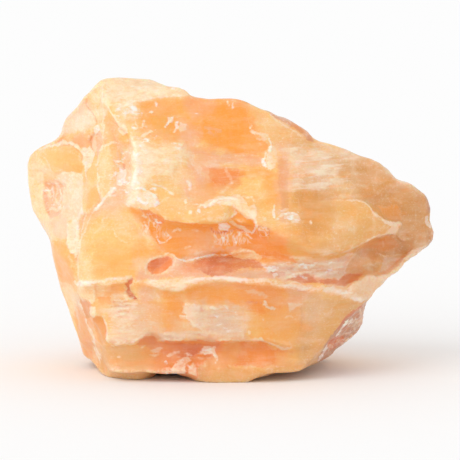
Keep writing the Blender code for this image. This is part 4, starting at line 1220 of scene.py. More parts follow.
@dataclass
class StoneSkin:
    """The fine skin of the stone, made from a copy of its solid.

    Each pair in strays, swell and crumbs is the size of a noise and how strong it is.
    """

    drawing: Drawing
    grain: float = 0.43 * MM
    merge_distance: float = 0.001 * MM
    soften_share: float = 0.5
    soften_rounds: int = 3
    far_share: float = 0.18
    seen_window: Window = (-0.05, 0.1)
    seam_window: Window = (0.08, 0.6)
    seam_size: float = 4.0 * MM
    seam_stray: float = 0.7
    seam_rounds: int = 40
    edge_on_window: Window = (0.0, 0.4)
    edge_on_stray: float = 1.4
    strays: tuple[tuple[float, float], ...] = ((3.4 * MM, 1.6), (1.3 * MM, 0.9), (0.6 * MM, 0.6))
    least_ramp: float = 4.6
    ramp_per_soft: float = 3.0
    least_slant: float = 0.08
    least_value: float = 0.05
    fill_rounds: int = 160
    fill_full: float = 0.1 * MM
    step_height: float = 1.9 * MM
    step_depth: float = 0.16 * MM
    step_everywhere: float = 0.2
    step_wave_size: float = 7.0 * MM
    step_wave: float = 0.9
    step_fall: Window = (0.8, 1.0)
    lying_window: Window = (0.6, 0.9)
    swell: tuple[tuple[float, float], ...] = ((5.0 * MM, 0.16 * MM), (2.0 * MM, 0.04 * MM))
    crumbs: tuple[tuple[float, float], ...] = ((2.4 * MM, 0.45 * MM), (1.0 * MM, 0.2 * MM))
    crumb_everywhere: float = 0.12
    foot_height: float = 1.5 * MM
    edge_rounds: int = 4
    edge_window: Window = (0.3 * 0.075 * MM, 0.075 * MM)
    broad_rounds: int = 130
    broad_full: float = 0.9 * MM
    far_stretch: tuple[float, float, float] = (1.0, 1.0, 1.8)
    far_gain: float = 1.6
    far_shift: float = 3.0
    # How much painted shade the far hollows get, and how much painted light the far ridges get
    shade_in_hollows: float = 0.35
    light_on_ridges: float = 0.3
    far_vein: FarVein = FarVein()
    masks: dict[str, np.ndarray] = field(default_factory=dict)

    def build(self) -> bpy.types.Object:
        """Makes the skin, carves it and lays the masks on it.

        Returns:
            The finished piece.
        """
        self.piece = self._copy_of_solid()
        self._fine_mesh()
        self._thin_far_sides()
        points, normals = self._points_and_normals()
        self._read_front(points, normals)
        points = self._fill(points, normals)
        self._carve(points, normals)
        points, normals = self._points_and_normals()
        self._read_front(points, normals)
        self._lay_edges(points, normals)
        self._lay_layers(points, normals)
        self._lay_marks(points)
        self._store_masks()
        self.piece.data.shade_smooth()
        return self.piece

    def _copy_of_solid(self) -> bpy.types.Object:
        """Copies the solid's mesh and merges its loose triangles.

        Returns:
            The copy.
        """
        solid = FRAME["nodes"][NODE]
        piece = bpy.data.objects.new("calcite_stone", solid.data.copy())
        bpy.context.scene.collection.objects.link(piece)
        make_active(piece)
        bpy.ops.object.mode_set(mode="EDIT")
        bpy.ops.mesh.select_all(action="SELECT")
        bpy.ops.mesh.remove_doubles(threshold=self.merge_distance)
        bpy.ops.object.mode_set(mode="OBJECT")
        return piece

    def _fine_mesh(self) -> None:
        """Gives the copy an even skin of small faces, and softens the solid's flat triangles."""
        skin = self.piece.modifiers.new("skin", "REMESH")
        skin.mode = "VOXEL"
        skin.voxel_size = self.grain
        bpy.ops.object.modifier_apply(modifier="skin")
        soft = self.piece.modifiers.new("soft", "SMOOTH")
        soft.factor = self.soften_share
        soft.iterations = self.soften_rounds
        bpy.ops.object.modifier_apply(modifier="soft")

    def _thin_far_sides(self) -> None:
        """Keeps fewer faces where the front view doesn't reach."""
        points, normals = self._points_and_normals()
        hidden = -(normals @ self.drawing.sight()) < self.seen_window[0]
        mesh = self.piece.data
        bpy.ops.object.mode_set(mode="EDIT")
        bpy.ops.mesh.select_mode(type="VERT")
        bpy.ops.mesh.select_all(action="DESELECT")
        bpy.ops.object.mode_set(mode="OBJECT")
        mesh.vertices.foreach_set("select", hidden)
        bpy.ops.object.mode_set(mode="EDIT")
        bpy.ops.mesh.decimate(ratio=self.far_share)
        bpy.ops.object.mode_set(mode="OBJECT")

    def _points_and_normals(self) -> tuple[np.ndarray, np.ndarray]:
        """The piece's vertices and their normals, as two arrays.

        Returns:
            The points in metres, and the normals.
        """
        mesh = self.piece.data
        points = np.empty(len(mesh.vertices) * 3, np.float32)
        mesh.vertices.foreach_get("co", points)
        normals = np.empty(len(mesh.vertices) * 3, np.float32)
        mesh.vertex_normals.foreach_get("vector", normals)
        return points.reshape(-1, 3).astype(float), normals.reshape(-1, 3).astype(float)

    def _read_front(self, points: np.ndarray, normals: np.ndarray) -> None:
        """Finds the points that the front view shows, and where they lie in it.

        Args:
            points: the skin's points.
            normals: their normals.
        """
        facing = -(normals @ self.drawing.sight())
        seen_here = smooth(facing, *self.seen_window)
        seen_near = self._eased(seen_here[:, None], self.seam_rounds)[:, 0]
        seen_near *= 1.0 + self.seam_stray * wander(points, self.seam_size, Shift.SEAM.value)
        self.front = np.maximum(seen_here, smooth(seen_near, *self.seam_window))
        self.shown = np.nonzero(self.front > 0.0)[0]
        seen = points[self.shown]
        self.slant = np.clip(facing[self.shown], self.least_slant, 1.0)
        edge_on = 1.0 - smooth(facing[self.shown], *self.edge_on_window)
        self.places = self.drawing.places(seen)
        for size, stray in self.strays:
            away = [wander(seen, size, shift.value) for shift in (Shift.ACROSS, Shift.DOWN)]
            reach = stray * (1.0 + self.edge_on_stray * edge_on)
            self.places += reach[:, None] * np.stack(away, axis=1)

    def _read_shapes(self, shapes: list[Shape]) -> tuple[np.ndarray, np.ndarray]:
        """How deep in the shapes each shown point lies, and how strong they are there together.

        Args:
            shapes: the shapes, drawn on the front.

        Returns:
            A value from 0 to 1 that is 0.5 on an outline, and the strength of the shapes' coats laid over
            each other.
        """
        value = np.zeros(len(self.shown))
        left = np.ones(len(self.shown))
        for shape in shapes:
            ramp = max(self.least_ramp, self.ramp_per_soft * shape.soft) * self.slant
            own = np.clip(0.5 + shape.inside(self.places) / ramp, 0.0, 1.0)
            left *= 1.0 - own * shape.strength * shape.presence(self.places)
            value = np.maximum(value, own)
        return value, np.clip((1.0 - left) / np.maximum(value, self.least_value), 0.0, 1.0)

    def _fill(self, points: np.ndarray, normals: np.ndarray) -> np.ndarray:
        """Makes hollows and steps lower where the solid has them too bold.

        Args:
            points: the skin's points.
            normals: their normals.

        Returns:
            The moved points.
        """
        share = np.zeros(len(points))
        evened = np.zeros(len(points))
        seen = self.front[self.shown]
        share[self.shown] = seen * np.multiply(*self._read_shapes(FILLED))
        evened[self.shown] = seen * np.multiply(*self._read_shapes(EVENED))
        away = self._eased(points, self.fill_rounds) - points
        share *= smooth((away * normals).sum(axis=1), 0.0, self.fill_full)
        return points + away * np.maximum(share, evened)[:, None]

    def _carve(self, points: np.ndarray, normals: np.ndarray) -> None:
        """Raises rims and lobes, sinks grooves, steps the layered stretches and roughens all.

        Args:
            points: the skin's points.
            normals: their normals.
        """
        lift = np.zeros(len(points))
        seen = self.front[self.shown]
        for shape in [shape for layer in LAYERS for shape in layer.shapes if shape.lift]:
            reach = 0.5 * shape.soft
            height = shape.lift * MM * seen * shape.presence(self.places)
            lift[self.shown] += height * smooth(shape.inside(self.places), -reach, reach)
        layered = np.full(len(points), self.step_everywhere)
        layered[self.shown] = np.maximum(layered[self.shown], seen * self._read_shapes(LAYERED)[0])
        crumbs = np.full(len(points), self.crumb_everywhere)
        crumbled = seen * np.multiply(*self._read_shapes(CRUMBLED))
        crumbs[self.shown] = np.maximum(crumbs[self.shown], crumbled)
        for size, height in self.crumbs:
            lift += height * crumbs * wander(points, size, Shift.CRUMBS.value)
        wave = self.step_wave * wander(points, self.step_wave_size, Shift.STEPS.value)
        level = points[:, 2] / self.step_height + wave
        saw = level - np.floor(level)
        upright = 1.0 - smooth(np.abs(normals[:, 2]), *self.lying_window)
        lift += self.step_depth * layered * upright * (saw - smooth(saw, *self.step_fall))
        for size, height in self.swell:
            lift += height * wander(points, size, Shift.SWELL.value)
        points = points + normals * (lift * smooth(points[:, 2], 0.0, self.foot_height))[:, None]
        points[:, 2] = np.maximum(points[:, 2], 0.0)
        self.piece.data.vertices.foreach_set("co", points.astype(np.float32).ravel())
        self.piece.data.update()

    def _eased(self, points: np.ndarray, rounds: int) -> np.ndarray:
        """The points of a smoothed copy of the skin, or other values at its points that are smoothed alike.

        Args:
            points: the skin's points, or a row of values for each of them.
            rounds: how often each point moves halfway to the middle of its neighbours.

        Returns:
            The moved points.
        """
        mesh = self.piece.data
        ends = np.empty(len(mesh.edges) * 2, np.int32)
        mesh.edges.foreach_get("vertices", ends)
        ends = ends.reshape(-1, 2)
        both = np.concatenate([ends, ends[:, ::-1]])
        count = np.bincount(both[:, 0], minlength=len(points)).astype(float)
        eased = points.copy()
        for _ in range(rounds):
            total = [np.bincount(both[:, 0], column[both[:, 1]], len(points)) for column in eased.T]
            eased = 0.5 * eased + 0.5 * np.stack(total, axis=1) / count[:, None]
        return eased

    def _lay_edges(self, points: np.ndarray, normals: np.ndarray) -> None:
        """Finds the edges and hollows, from how far smoothed copies of the skin lie away, for the painted
        highlight on the edges and the painted shade in the hollows.

        Args:
            points: the skin's points.
            normals: their normals.
        """
        out = ((points - self._eased(points, self.edge_rounds)) * normals).sum(axis=1)
        plain = 1.0 - np.multiply(*self._read_shapes(EVENED))
        for mark, height in ((Mark.EDGE, out), (Mark.HOLLOW_SHADE, -out)):
            mask = smooth(height, *self.edge_window)
            mask[self.shown] *= plain
            self.masks[mark.value] = mask
        broad = ((points - self._eased(points, self.broad_rounds)) * normals).sum(axis=1)
        self.broad = np.clip(broad / self.broad_full, -1.0, 1.0)

    def _lay_layers(self, points: np.ndarray, normals: np.ndarray) -> None:
        """Lays each layer on the front by its shapes, and on the far sides by noise.

        Args:
            points: the skin's points.
            normals: their normals.
        """
        far = np.nonzero(self.front < 1.0)[0]
        share = self.front[far]
        stretched = points[far] * np.array(self.far_stretch)
        for number, layer in enumerate(LAYERS):
            value = np.zeros(len(points))
            strength = np.ones(len(points))
            value[self.shown], strength[self.shown] = self._read_shapes(layer.shapes)
            noise_here = wander(stretched, layer.far_size * MM, self.far_shift * number)
            beyond = 0.5 + self.far_gain * (noise_here - layer.far_from)
            # In part painted light and shade: each tone leans by which way the face looks
            beyond += normals[far] @ np.array(FAR_LIGHT_LEAN.get(layer.tone, (0.0, 0.0, 0.0)))
            # Painted shade: dark tones thicker in the broad hollows; painted light: pale tones thicker on
            # the broad ridges
            if layer.tone in DARK_TONES:
                beyond -= self.shade_in_hollows * self.broad[far]
            if layer.tone in PALE_TONES:
                beyond += self.light_on_ridges * self.broad[far]
            if layer.tone is Tone.FROST:
                beyond = np.maximum(beyond, self.far_vein.at(points[far], stretched))
            value[far] = share * value[far] + (1.0 - share) * np.clip(beyond, 0.0, 1.0)
            strength[far] = share * strength[far] + (1.0 - share) * layer.far_strength
            self.masks[layer.name] = value
            self.masks[layer.strength_name] = strength

    def _lay_marks(self, points: np.ndarray) -> None:
        """Lays the masks of the marks on the front by their shapes, and on the far sides by noise.

        Args:
            points: the skin's points.
        """
        far = np.nonzero(self.front < 1.0)[0]
        share = self.front[far]
        for mark, (shapes, far_mark) in MARKS.items():
            mask = np.zeros(len(points))
            mask[self.shown] = np.multiply(*self._read_shapes(shapes))
            beyond = far_mark.at(points[far]) if far_mark else 0.0
            mask[far] = share * mask[far] + (1.0 - share) * beyond
            self.masks[mark.value] = mask

    def _store_masks(self) -> None:
        """Stores each mask on the mesh as an attribute of its name."""
        mesh = self.piece.data
        for name, values in self.masks.items():
            layer = mesh.attributes.new(name, "FLOAT", "POINT")
            layer.data.foreach_set("value", np.clip(values, 0.0, 1.0).astype(np.float32))


class Grain(Enum):
    """The noises that the material uses.

    Each has how many of its features a millimetre holds along X, Y and Z, how many finer layers it has, how
    strong they are, and how much it swirls.
    """

    STREAKS = ((0.07, 0.07, 0.9), 3.0, 0.6, 0.0)
    THREADS = ((0.16, 0.16, 3.0), 2.0, 0.5, 0.0)
    UPRIGHTS = ((0.55, 0.3, 0.05), 3.0, 0.6, 0.0)
    CLOUDS = ((0.06, 0.06, 0.10), 4.0, 0.55, 0.0)
    GRAIN = ((1.3, 1.3, 1.5), 4.0, 0.62, 0.0)
    BILLOWS = ((0.28, 0.28, 0.42), 5.0, 0.6, 0.6)
    FINE = ((0.8, 0.8, 1.6), 3.0, 0.6, 0.3)
    WISPS = ((0.10, 0.10, 0.42), 5.0, 0.6, 0.2)
    VEIL = ((0.16, 0.16, 0.4), 4.0, 0.55, 0.5)
    SUGAR = ((1.8, 1.8, 2.6), 4.0, 0.7, 0.0)
    DEPTH = ((0.15, 0.15, 0.3), 4.0, 0.5, 0.4)
    FLECKS = ((0.34, 0.34, 0.62), 6.0, 0.62, 0.0)
    CURLS = ((0.8, 0.8, 0.45), 1.0, 0.5, 0.3)


@dataclass(frozen=True)
class Film:
    """A thin film of one tone, laid where a noise is within a window.

    Its strength is one number, or two if it grows with the fine layers. A milky one is thin on clear orange.
    """

    tone: Tone
    grain: Grain
    window: Window
    strength: float | Window
    milky: bool = False


# The pale and deep streaks, clouds and crystals inside the tones, the lowest first
FILMS = (
    Film(T.CREAM, Grain.WISPS, (0.48, 0.62), (0.1, 0.6)),
    Film(T.FROST, Grain.THREADS, (0.56, 0.68), (0.03, 0.2)),
    Film(T.ORANGE, Grain.STREAKS, (0.48, 0.32), (0.08, 0.3)),
    Film(T.PINK, Grain.UPRIGHTS, (0.54, 0.7), 0.14),
    Film(T.CREAM, Grain.UPRIGHTS, (0.46, 0.3), 0.12, milky=True),
    Film(T.CREAM, Grain.CLOUDS, (0.5, 0.34), 0.15, milky=True),
    Film(T.CREAM, Grain.VEIL, (0.5, 0.7), 0.22, milky=True),
    Film(T.FROST, Grain.SUGAR, (0.52, 0.72), 0.3, milky=True),
    Film(T.DEEP, Grain.SUGAR, (0.48, 0.28), 0.22),
    Film(T.ORANGE, Grain.DEPTH, (0.5, 0.72), 0.22),
)


class Nodes:
    """Adds shader nodes to a tree, each call one small effect."""

    MIX_FACTOR = 0
    MIX_UNDER = 6
    MIX_OVER = 7
    MIX_RESULT = 2

    def __init__(self, tree: bpy.types.NodeTree) -> None:
        """Keeps the tree and its one texture coordinate.

        Args:
            tree: the material's node tree.
        """
        self.tree = tree
        self.place = self.add("ShaderNodeTexCoord").outputs["Object"]
        self.noises: dict[Grain, Socket] = {}

    def add(self, kind: str) -> bpy.types.Node:
        """Adds a node of a kind."""
        return self.tree.nodes.new(kind)

    def noise(self, grain: Grain) -> Socket:
        """One of the noises, which is added when it is first asked for.

        Args:
            grain: which noise.

        Returns:
            The noise's value socket.
        """
        if grain in self.noises:
            return self.noises[grain]
        per_mm, detail, rough, twist = grain.value
        mapping = self.add("ShaderNodeMapping")
        mapping.inputs["Scale"].default_value = [share / MM for share in per_mm]
        self.tree.links.new(self.place, mapping.inputs["Vector"])
        made = self.add("ShaderNodeTexNoise")
        made.inputs["Scale"].default_value = 1.0
        made.inputs["Detail"].default_value = detail
        made.inputs["Roughness"].default_value = rough
        made.inputs["Distortion"].default_value = twist
        self.tree.links.new(mapping.outputs["Vector"], made.inputs["Vector"])
        self.noises[grain] = made.outputs["Fac"]
        return self.noises[grain]

    def mask(self, name: str) -> Socket:
        """Reads one of the piece's masks.

        Args:
            name: the mask's name.

        Returns:
            The mask's value socket.
        """
        made = self.add("ShaderNodeAttribute")
        made.attribute_name = name
        return made.outputs["Fac"]

    def math(self, kind: str, *values: Socket | float) -> Socket:
        """One math node, with sockets or plain numbers.

        Args:
            kind: the node's operation.
            values: its inputs.

        Returns:
            Its value socket.
        """
        made = self.add("ShaderNodeMath")
        made.operation = kind
        for slot, value in zip(made.inputs, values):
            if isinstance(value, bpy.types.NodeSocket):
                self.tree.links.new(value, slot)
            else:
                slot.default_value = value
        return made.outputs["Value"]

    def times(self, value: Socket, share: Socket | float) -> Socket:
        """A value times another value or a number."""
        return self.math("MULTIPLY", value, share)

    def sum(self, one: Socket, other: Socket) -> Socket:
        """Two values added up."""
        return self.math("ADD", one, other)

    def maximum(self, one: Socket, other: Socket) -> Socket:
        """The larger of two values."""
        return self.math("MAXIMUM", one, other)

    def centred(self, noise_value: Socket) -> Socket:
        """A noise's value, moved so that it lies round 0."""
        return self.math("SUBTRACT", noise_value, 0.5)

    def window(self, value: Socket, low: float, high: float) -> Socket:
        """A smooth step of a value from 0 at low to 1 at high.

        Args:
            value: the value.
            low: where the step is 0.
            high: where it is 1.

        Returns:
            The step's socket.
        """
        made = self.add("ShaderNodeMapRange")
        made.interpolation_type = "SMOOTHSTEP"
        made.inputs["From Min"].default_value = low
        made.inputs["From Max"].default_value = high
        self.tree.links.new(value, made.inputs["Value"])
        return made.outputs["Result"]

    def between(self, low: float, high: float, share: Socket) -> Socket:
        """A value that goes from low to high with a share."""
        return self.math("ADD", self.math("MULTIPLY", share, high - low), low)

    def blend(self, one: Colour, other: Colour, share: Socket) -> Socket:
        """Two colours, mixed by a share.

        Args:
            one: the colour where the share is 0.
            other: the colour where it is 1.
            share: the share.

        Returns:
            The mixed colour's socket.
        """
        made = self._mix(share)
        made.inputs[self.MIX_UNDER].default_value = (*one, 1.0)
        made.inputs[self.MIX_OVER].default_value = (*other, 1.0)
        return made.outputs[self.MIX_RESULT]

    def lay(self, under: Socket, paint: Colour, mask: Socket, mode: str = "MIX") -> Socket:
        """Lays a colour over another where a mask says.

        Args:
            under: the colour below.
            paint: the colour that is laid on it.
            mask: how much of it is laid.
            mode: how the two colours are put together.

        Returns:
            The new colour.
        """
        made = self._mix(mask)
        made.blend_type = mode
        self.tree.links.new(under, made.inputs[self.MIX_UNDER])
        made.inputs[self.MIX_OVER].default_value = (*paint, 1.0)
        return made.outputs[self.MIX_RESULT]

    def _mix(self, share: Socket) -> bpy.types.Node:
        """A colour mix node with its share connected.

        Args:
            share: the share.

        Returns:
            The node.
        """
        made = self.add("ShaderNodeMix")
        made.data_type = "RGBA"
        self.tree.links.new(share, made.inputs[self.MIX_FACTOR])
        return made


@dataclass(frozen=True)
class CalciteFinish:
    """The stone's colours and gloss, and how strong each effect in its material is."""

    body: Colour = linear(250, 196, 134)
    palette: dict[Tone, Colour] = field(default_factory=lambda: {
        Tone.SAND: linear(226, 172, 114),
        Tone.TAN: linear(220, 150, 102),
        Tone.GOLD: linear(240, 180, 102),
        Tone.AMBER: linear(253, 196, 116),
        Tone.ORANGE: linear(255, 161, 58),
        Tone.DEEP: linear(246, 140, 62),
        Tone.RUST: linear(222, 112, 72),
        Tone.PINK: linear(244, 184, 146),
        Tone.BEIGE: linear(244, 210, 176),
        Tone.BUTTER: linear(255, 221, 176),
        Tone.CREAM: linear(255, 236, 212),
        Tone.FROST: linear(255, 248, 242),
        Tone.BROWN: linear(178, 108, 86),
        Tone.OCHRE: linear(222, 154, 82),
        Tone.COPPER: linear(216, 132, 70),
        Tone.UMBER: linear(204, 146, 116),
        Tone.SHELL: linear(234, 198, 170),
    })
    body_window: Window = (0.4, 0.6)
    cloudy: float = 1.4
    cloudy_window: Window = (0.0, 0.3)
    ragged_grain: float = 0.8
    ragged_streak: float = 0.6
    ragged_in_layers: Window = (0.3, 1.0)
    gap_window: Window = (0.38, 0.56)
    billow_gaps: Window = (0.65, 1.0)
    fine_gaps: Window = (0.6, 1.0)
    rimmed: tuple[Tone, ...] = (Tone.AMBER, Tone.ORANGE, Tone.GOLD, Tone.DEEP, Tone.RUST)
    rim_start: Window = (0.34, 0.48)
    rim_end: Window = (0.62, 0.48)
    rim_share: float = 0.55
    clear_layers: tuple[str, ...] = ("cloud_orange", "cloud_deep", "shape_deep", "shape_orange")
    milky_when_clear: float = 0.3
    vein_ragged: float = 0.7
    vein_window: Window = (0.22, 0.75)
    vein_gap_window: Window = (0.36, 0.56)
    vein_gaps: Window = (0.6, 1.0)
    vein_share: float = 0.85
    # How strong the painted shade in the hollows is
    hollow_shade_share: float = 0.22
    # The painted highlight on the edges: its small gaps and its strength
    edge_highlight_gaps: Window = (0.34, 0.58)
    edge_highlight_share: float = 0.42
    scratch_mask_window: Window = (0.3, 0.7)
    scratch_width: Window = (0.07, 0.02)
    scratch_share: float = 0.3
    chip_mask_window: Window = (0.1, 0.5)
    chip_window: Window = (0.60, 0.72)
    chip_growth: float = 0.10
    chip_share: float = 0.85
    # The colour that the painted shade and the far sides' darker patches multiply by
    dusk: Colour = (0.87, 0.855, 0.84)
    roughness: float = 0.36
    frost_roughness: float = 0.62
    bump_streaks: Window = (0.15, 0.8)
    bump_grain: float = 0.45
    bump_frost: float = 0.5
    bump_strength: float = 0.7
    bump_distance: float = 0.2 * MM
    glow: float = 0.5
    glow_reach: Colour = (1.0, 0.42, 0.16)
    glow_scale: float = 2.6 * MM
    specular: float = 0.38
    coat: float = 0.12
    coat_roughness: float = 0.2

    def material(self) -> bpy.types.Material:
        """Builds the stone's material.

        Returns:
            The material, which reads the masks on the piece.
        """
        made = bpy.data.materials.new("calcite_waxy")
        made.use_nodes = True
        tree = made.node_tree
        tree.nodes.clear()
        nodes = Nodes(tree)
        out = nodes.add("ShaderNodeOutputMaterial")
        shader = nodes.add("ShaderNodeBsdfPrincipled")
        tree.links.new(shader.outputs["BSDF"], out.inputs["Surface"])
        StonePaint(self, nodes).connect(shader)
        shader.inputs["Subsurface Weight"].default_value = self.glow
        shader.inputs["Subsurface Radius"].default_value = self.glow_reach
        shader.inputs["Subsurface Scale"].default_value = self.glow_scale
        shader.inputs["Specular IOR Level"].default_value = self.specular
        shader.inputs["Coat Weight"].default_value = self.coat
        shader.inputs["Coat Roughness"].default_value = self.coat_roughness
        return made


class StonePaint:
    """Works out the stone's colour, roughness and bumps from its masks and noises, coat by coat."""

    def __init__(self, finish: CalciteFinish, nodes: Nodes) -> None:
        """Prepares what several coats share, and the colour below all coats.

        Args:
            finish: the stone's colours and the strengths of the effects.
            nodes: the node builder.
        """
        self.finish = finish
        self.nodes = nodes
        self.layered = nodes.mask(Mark.LAYERED.value)
        self.ragged = self._ragged()
        self.patchy = self._patchy()
        self.milky = self._milky()
        self.chips = self._chips()
        self.frosted = self.chips
        body_share = nodes.window(nodes.noise(Grain.CLOUDS), *finish.body_window)
        self.colour = nodes.blend(finish.body, finish.palette[Tone.AMBER], body_share)

    def connect(self, shader: bpy.types.Node) -> None:
        """Lays all coats and connects the results to the shader.

        Args:
            shader: the stone's shader node.
        """
        for layer in LAYERS:
            self._lay_layer(layer)
        self._lay_vein()
        for film in FILMS:
            self._lay_film(film)
        self._lay_wear_and_painted_light()
        nodes, finish = self.nodes, self.finish
        nodes.tree.links.new(self.colour, shader.inputs["Base Color"])
        roughness = nodes.between(finish.roughness, finish.frost_roughness, self.frosted)
        nodes.tree.links.new(roughness, shader.inputs["Roughness"])
        streaks = nodes.times(nodes.noise(Grain.STREAKS), nodes.between(*finish.bump_streaks, self.layered))
        height = nodes.sum(streaks, nodes.times(nodes.noise(Grain.GRAIN), finish.bump_grain))
        height = nodes.sum(height, nodes.times(self.frosted, finish.bump_frost))
        bump = nodes.add("ShaderNodeBump")
        bump.inputs["Strength"].default_value = finish.bump_strength
        bump.inputs["Distance"].default_value = finish.bump_distance
        nodes.tree.links.new(height, bump.inputs["Height"])
        nodes.tree.links.new(bump.outputs["Normal"], shader.inputs["Normal"])

    def _lay(self, tone: Tone, mask: Socket) -> None:
        """Lays a coat of a tone where a mask says."""
        self.colour = self.nodes.lay(self.colour, self.finish.palette[tone], mask)

    def _ragged(self) -> Socket:
        """How far outlines stray: by grains, and by streaks in the fine layers.

        Returns:
            A value round 0.
        """
        nodes, finish = self.nodes, self.finish
        grains = nodes.times(nodes.centred(nodes.noise(Grain.GRAIN)), finish.ragged_grain)
        streaks = nodes.times(nodes.centred(nodes.noise(Grain.STREAKS)), finish.ragged_streak)
        return nodes.sum(grains, nodes.times(streaks, nodes.between(*finish.ragged_in_layers, self.layered)))

    def _patchy(self) -> Socket:
        """How much of the pale tones shows: they have small gaps of two sizes.

        Returns:
            A share up to 1.
        """
        nodes, finish = self.nodes, self.finish
        billows = nodes.window(nodes.noise(Grain.BILLOWS), *finish.gap_window)
        fine = nodes.window(nodes.noise(Grain.FINE), *finish.gap_window)
        large = nodes.between(*finish.billow_gaps, billows)
        return nodes.times(large, nodes.between(*finish.fine_gaps, fine))

    def _milky(self) -> Socket:
        """How much of the milky films shows: little in the clear orange.

        Returns:
            A share up to 1.
        """
        first, *others = self.finish.clear_layers
        clear = self.nodes.mask(first)
        for name in others:
            clear = self.nodes.maximum(clear, self.nodes.mask(name))
        return self.nodes.between(1.0, self.finish.milky_when_clear, clear)

    def _chips(self) -> Socket:
        """Small white chips, thick where their mask is strong.

        Returns:
            The chips' mask.
        """
        nodes, finish = self.nodes, self.finish
        mask = nodes.mask(Mark.CHIPPED.value)
        thick = nodes.sum(nodes.noise(Grain.FLECKS), nodes.times(mask, finish.chip_growth))
        allowed = nodes.window(mask, *finish.chip_mask_window)
        return nodes.times(nodes.window(thick, *finish.chip_window), allowed)

    def _scratches(self) -> Socket:
        """Curly white scratches, where their mask allows them.

        Returns:
            The scratches' mask.
        """
        nodes, finish = self.nodes, self.finish
        off = nodes.math("ABSOLUTE", nodes.centred(nodes.noise(Grain.CURLS)))
        allowed = nodes.window(nodes.mask(Mark.SCRATCHED.value), *finish.scratch_mask_window)
        return nodes.times(allowed, nodes.window(off, *finish.scratch_width))

    def _lay_layer(self, layer: Layer) -> None:
        """Lays the coat of one layer, with a pale rim if its tone has one.

        Args:
            layer: the layer.
        """
        nodes, finish = self.nodes, self.finish
        own = nodes.mask(layer.name)
        stray = self.ragged
        if layer.kind is Kind.CLOUD:
            billows = nodes.times(nodes.centred(nodes.noise(Grain.BILLOWS)), finish.cloudy)
            stray = nodes.times(billows, nodes.window(own, *finish.cloudy_window))
        value = nodes.sum(own, stray)
        mask = nodes.window(value, 0.5 - layer.half_window, 0.5 + layer.half_window)
        mask = nodes.times(mask, nodes.mask(layer.strength_name))
        if layer.tone in PALE_TONES:
            mask = nodes.times(mask, self.patchy)
        self._lay(layer.tone, mask)
        if layer.tone in finish.rimmed and layer.kind is Kind.SHAPE:
            rim = nodes.times(nodes.window(value, *finish.rim_start), nodes.window(value, *finish.rim_end))
            rim = nodes.times(rim, nodes.times(mask, self.patchy))
            self._lay(Tone.CREAM, nodes.times(rim, finish.rim_share))
        if layer.tone is Tone.FROST:
            self.frosted = nodes.maximum(self.frosted, mask)

    def _lay_vein(self) -> None:
        """Lays the white veins, which have gaps along the streaks."""
        nodes, finish = self.nodes, self.finish
        vein = nodes.sum(nodes.mask(Mark.VEINED.value), nodes.times(self.ragged, finish.vein_ragged))
        gaps = nodes.window(nodes.noise(Grain.STREAKS), *finish.vein_gap_window)
        vein = nodes.times(nodes.window(vein, *finish.vein_window), nodes.between(*finish.vein_gaps, gaps))
        self._lay(Tone.FROST, nodes.times(vein, finish.vein_share))

    def _lay_film(self, film: Film) -> None:
        """Lays one of the thin films.

        Args:
            film: the film.
        """
        nodes = self.nodes
        here = nodes.window(nodes.noise(film.grain), *film.window)
        strength = film.strength
        if isinstance(strength, tuple):
            strength = nodes.between(*strength, nodes.times(self.layered, self.milky))
        elif film.milky:
            strength = nodes.times(self.milky, strength)
        self._lay(film.tone, nodes.times(here, strength))

    def _lay_wear_and_painted_light(self) -> None:
        """Lays the painted shade in the hollows, the painted highlight on the edges, the scratches, the
        chips, and last the painted shade over the lower and right stretches, which on the far sides are
        darker patches.
        """
        nodes, finish = self.nodes, self.finish
        # Painted shade: deep orange in the creases and hollows
        self._lay(Tone.DEEP, nodes.times(nodes.mask(Mark.HOLLOW_SHADE.value), finish.hollow_shade_share))
        # Painted highlight: cream on the convex edges, with small gaps
        gaps = nodes.window(nodes.noise(Grain.GRAIN), *finish.edge_highlight_gaps)
        edge = nodes.times(nodes.mask(Mark.EDGE.value), gaps)
        self._lay(Tone.CREAM, nodes.times(edge, finish.edge_highlight_share))
        self._lay(Tone.FROST, nodes.times(self._scratches(), finish.scratch_share))
        self._lay(Tone.FROST, nodes.times(self.chips, finish.chip_share))
        # Painted shade on the lower and right stretches of the front; darker patches on the far sides
        self.colour = nodes.lay(self.colour, finish.dusk, nodes.mask(Mark.SHADE_AND_DARK_PATCHES.value), "MULTIPLY")


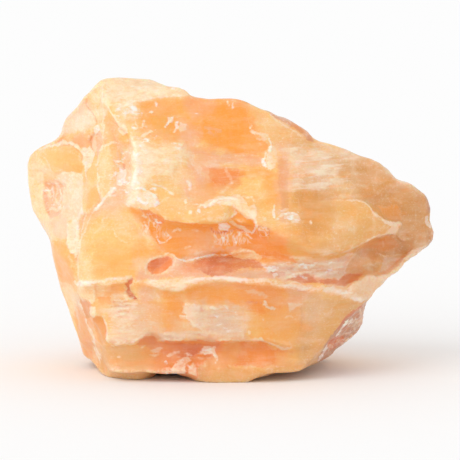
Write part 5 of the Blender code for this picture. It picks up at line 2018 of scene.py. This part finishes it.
@dataclass
class Studio:
    """The pale floor, the soft lights and the camera."""

    drawing: Drawing
    floor_size: float = 12.0
    floor_colour: Colour = (0.96, 0.96, 0.96)
    floor_roughness: float = 0.9
    sky_strength: float = 0.86
    key_strength: float = 0.85
    key_angle: float = math.radians(50.0)
    key_from: tuple[float, float, float] = (-0.75, -0.75, 0.8)
    away: float = 1.6
    seen_width: float = 460.0
    aim: tuple[float, float] = (230.0, 230.0)
    aim_depth: float = -14.0 * MM
    sensor: float = 36.0

    def build(self) -> None:
        """Puts the floor, the lights and the camera in the scene."""
        self._floor()
        self._lights()
        self._camera()
        bpy.context.scene.view_settings.view_transform = "Standard"

    def _floor(self) -> None:
        """Adds the floor that the stone stands on."""
        deselect_all()
        bpy.ops.mesh.primitive_plane_add(size=self.floor_size, location=(0.0, 0.0, 0.0))
        floor = bpy.context.active_object
        floor.name = "studio_floor"
        paint = bpy.data.materials.new("pale_floor")
        paint.use_nodes = True
        shader = paint.node_tree.nodes["Principled BSDF"]
        shader.inputs["Base Color"].default_value = (*self.floor_colour, 1.0)
        shader.inputs["Roughness"].default_value = self.floor_roughness
        shader.inputs["Specular IOR Level"].default_value = 0.0
        floor.data.materials.append(paint)

    def _lights(self) -> None:
        """Adds an even white surround and one very soft light from the upper left."""
        world = bpy.data.worlds.new("studio")
        world.use_nodes = True
        sky = world.node_tree.nodes["Background"]
        sky.inputs["Color"].default_value = (1.0, 1.0, 1.0, 1.0)
        sky.inputs["Strength"].default_value = self.sky_strength
        bpy.context.scene.world = world
        data = bpy.data.lights.new("key", "SUN")
        data.energy = self.key_strength
        data.angle = self.key_angle
        lamp = bpy.data.objects.new("key", data)
        lamp.location = self.key_from
        lamp.rotation_euler = (-Vector(self.key_from)).to_track_quat("-Z", "Y").to_euler()
        bpy.context.scene.collection.objects.link(lamp)

    def _camera(self) -> None:
        """Adds the camera that sees the stone as it is drawn."""
        data = bpy.data.cameras.new("camera")
        data.sensor_width = self.sensor
        data.lens = self.sensor * self.away / (self.seen_width * self.drawing.unit)
        camera = bpy.data.objects.new("camera", data)
        sight = Vector(self.drawing.sight())
        camera.location = self.drawing.point(*self.aim, self.aim_depth) - sight * self.away
        camera.rotation_euler = Euler((math.radians(90.0) - self.drawing.tilt, 0.0, 0.0))
        bpy.context.scene.collection.objects.link(camera)
        bpy.context.scene.camera = camera


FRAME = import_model()


def main() -> None:
    """Builds the stone and its studio."""
    logging.basicConfig(level=logging.INFO, format="%(message)s")
    drawing = Drawing()
    stone = StoneSkin(drawing).build()
    stone.data.materials.clear()
    stone.data.materials.append(CalciteFinish().material())
    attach(stone, "root")
    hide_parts(NODE)
    size = [round(v / MM, 1) for v in stone.dimensions]
    log.info("stone: %d faces, %s mm", len(stone.data.polygons), size)
    Studio(drawing).build()
    log.info("studio: floor, lights and camera")


if __name__ == "__main__":
    main()
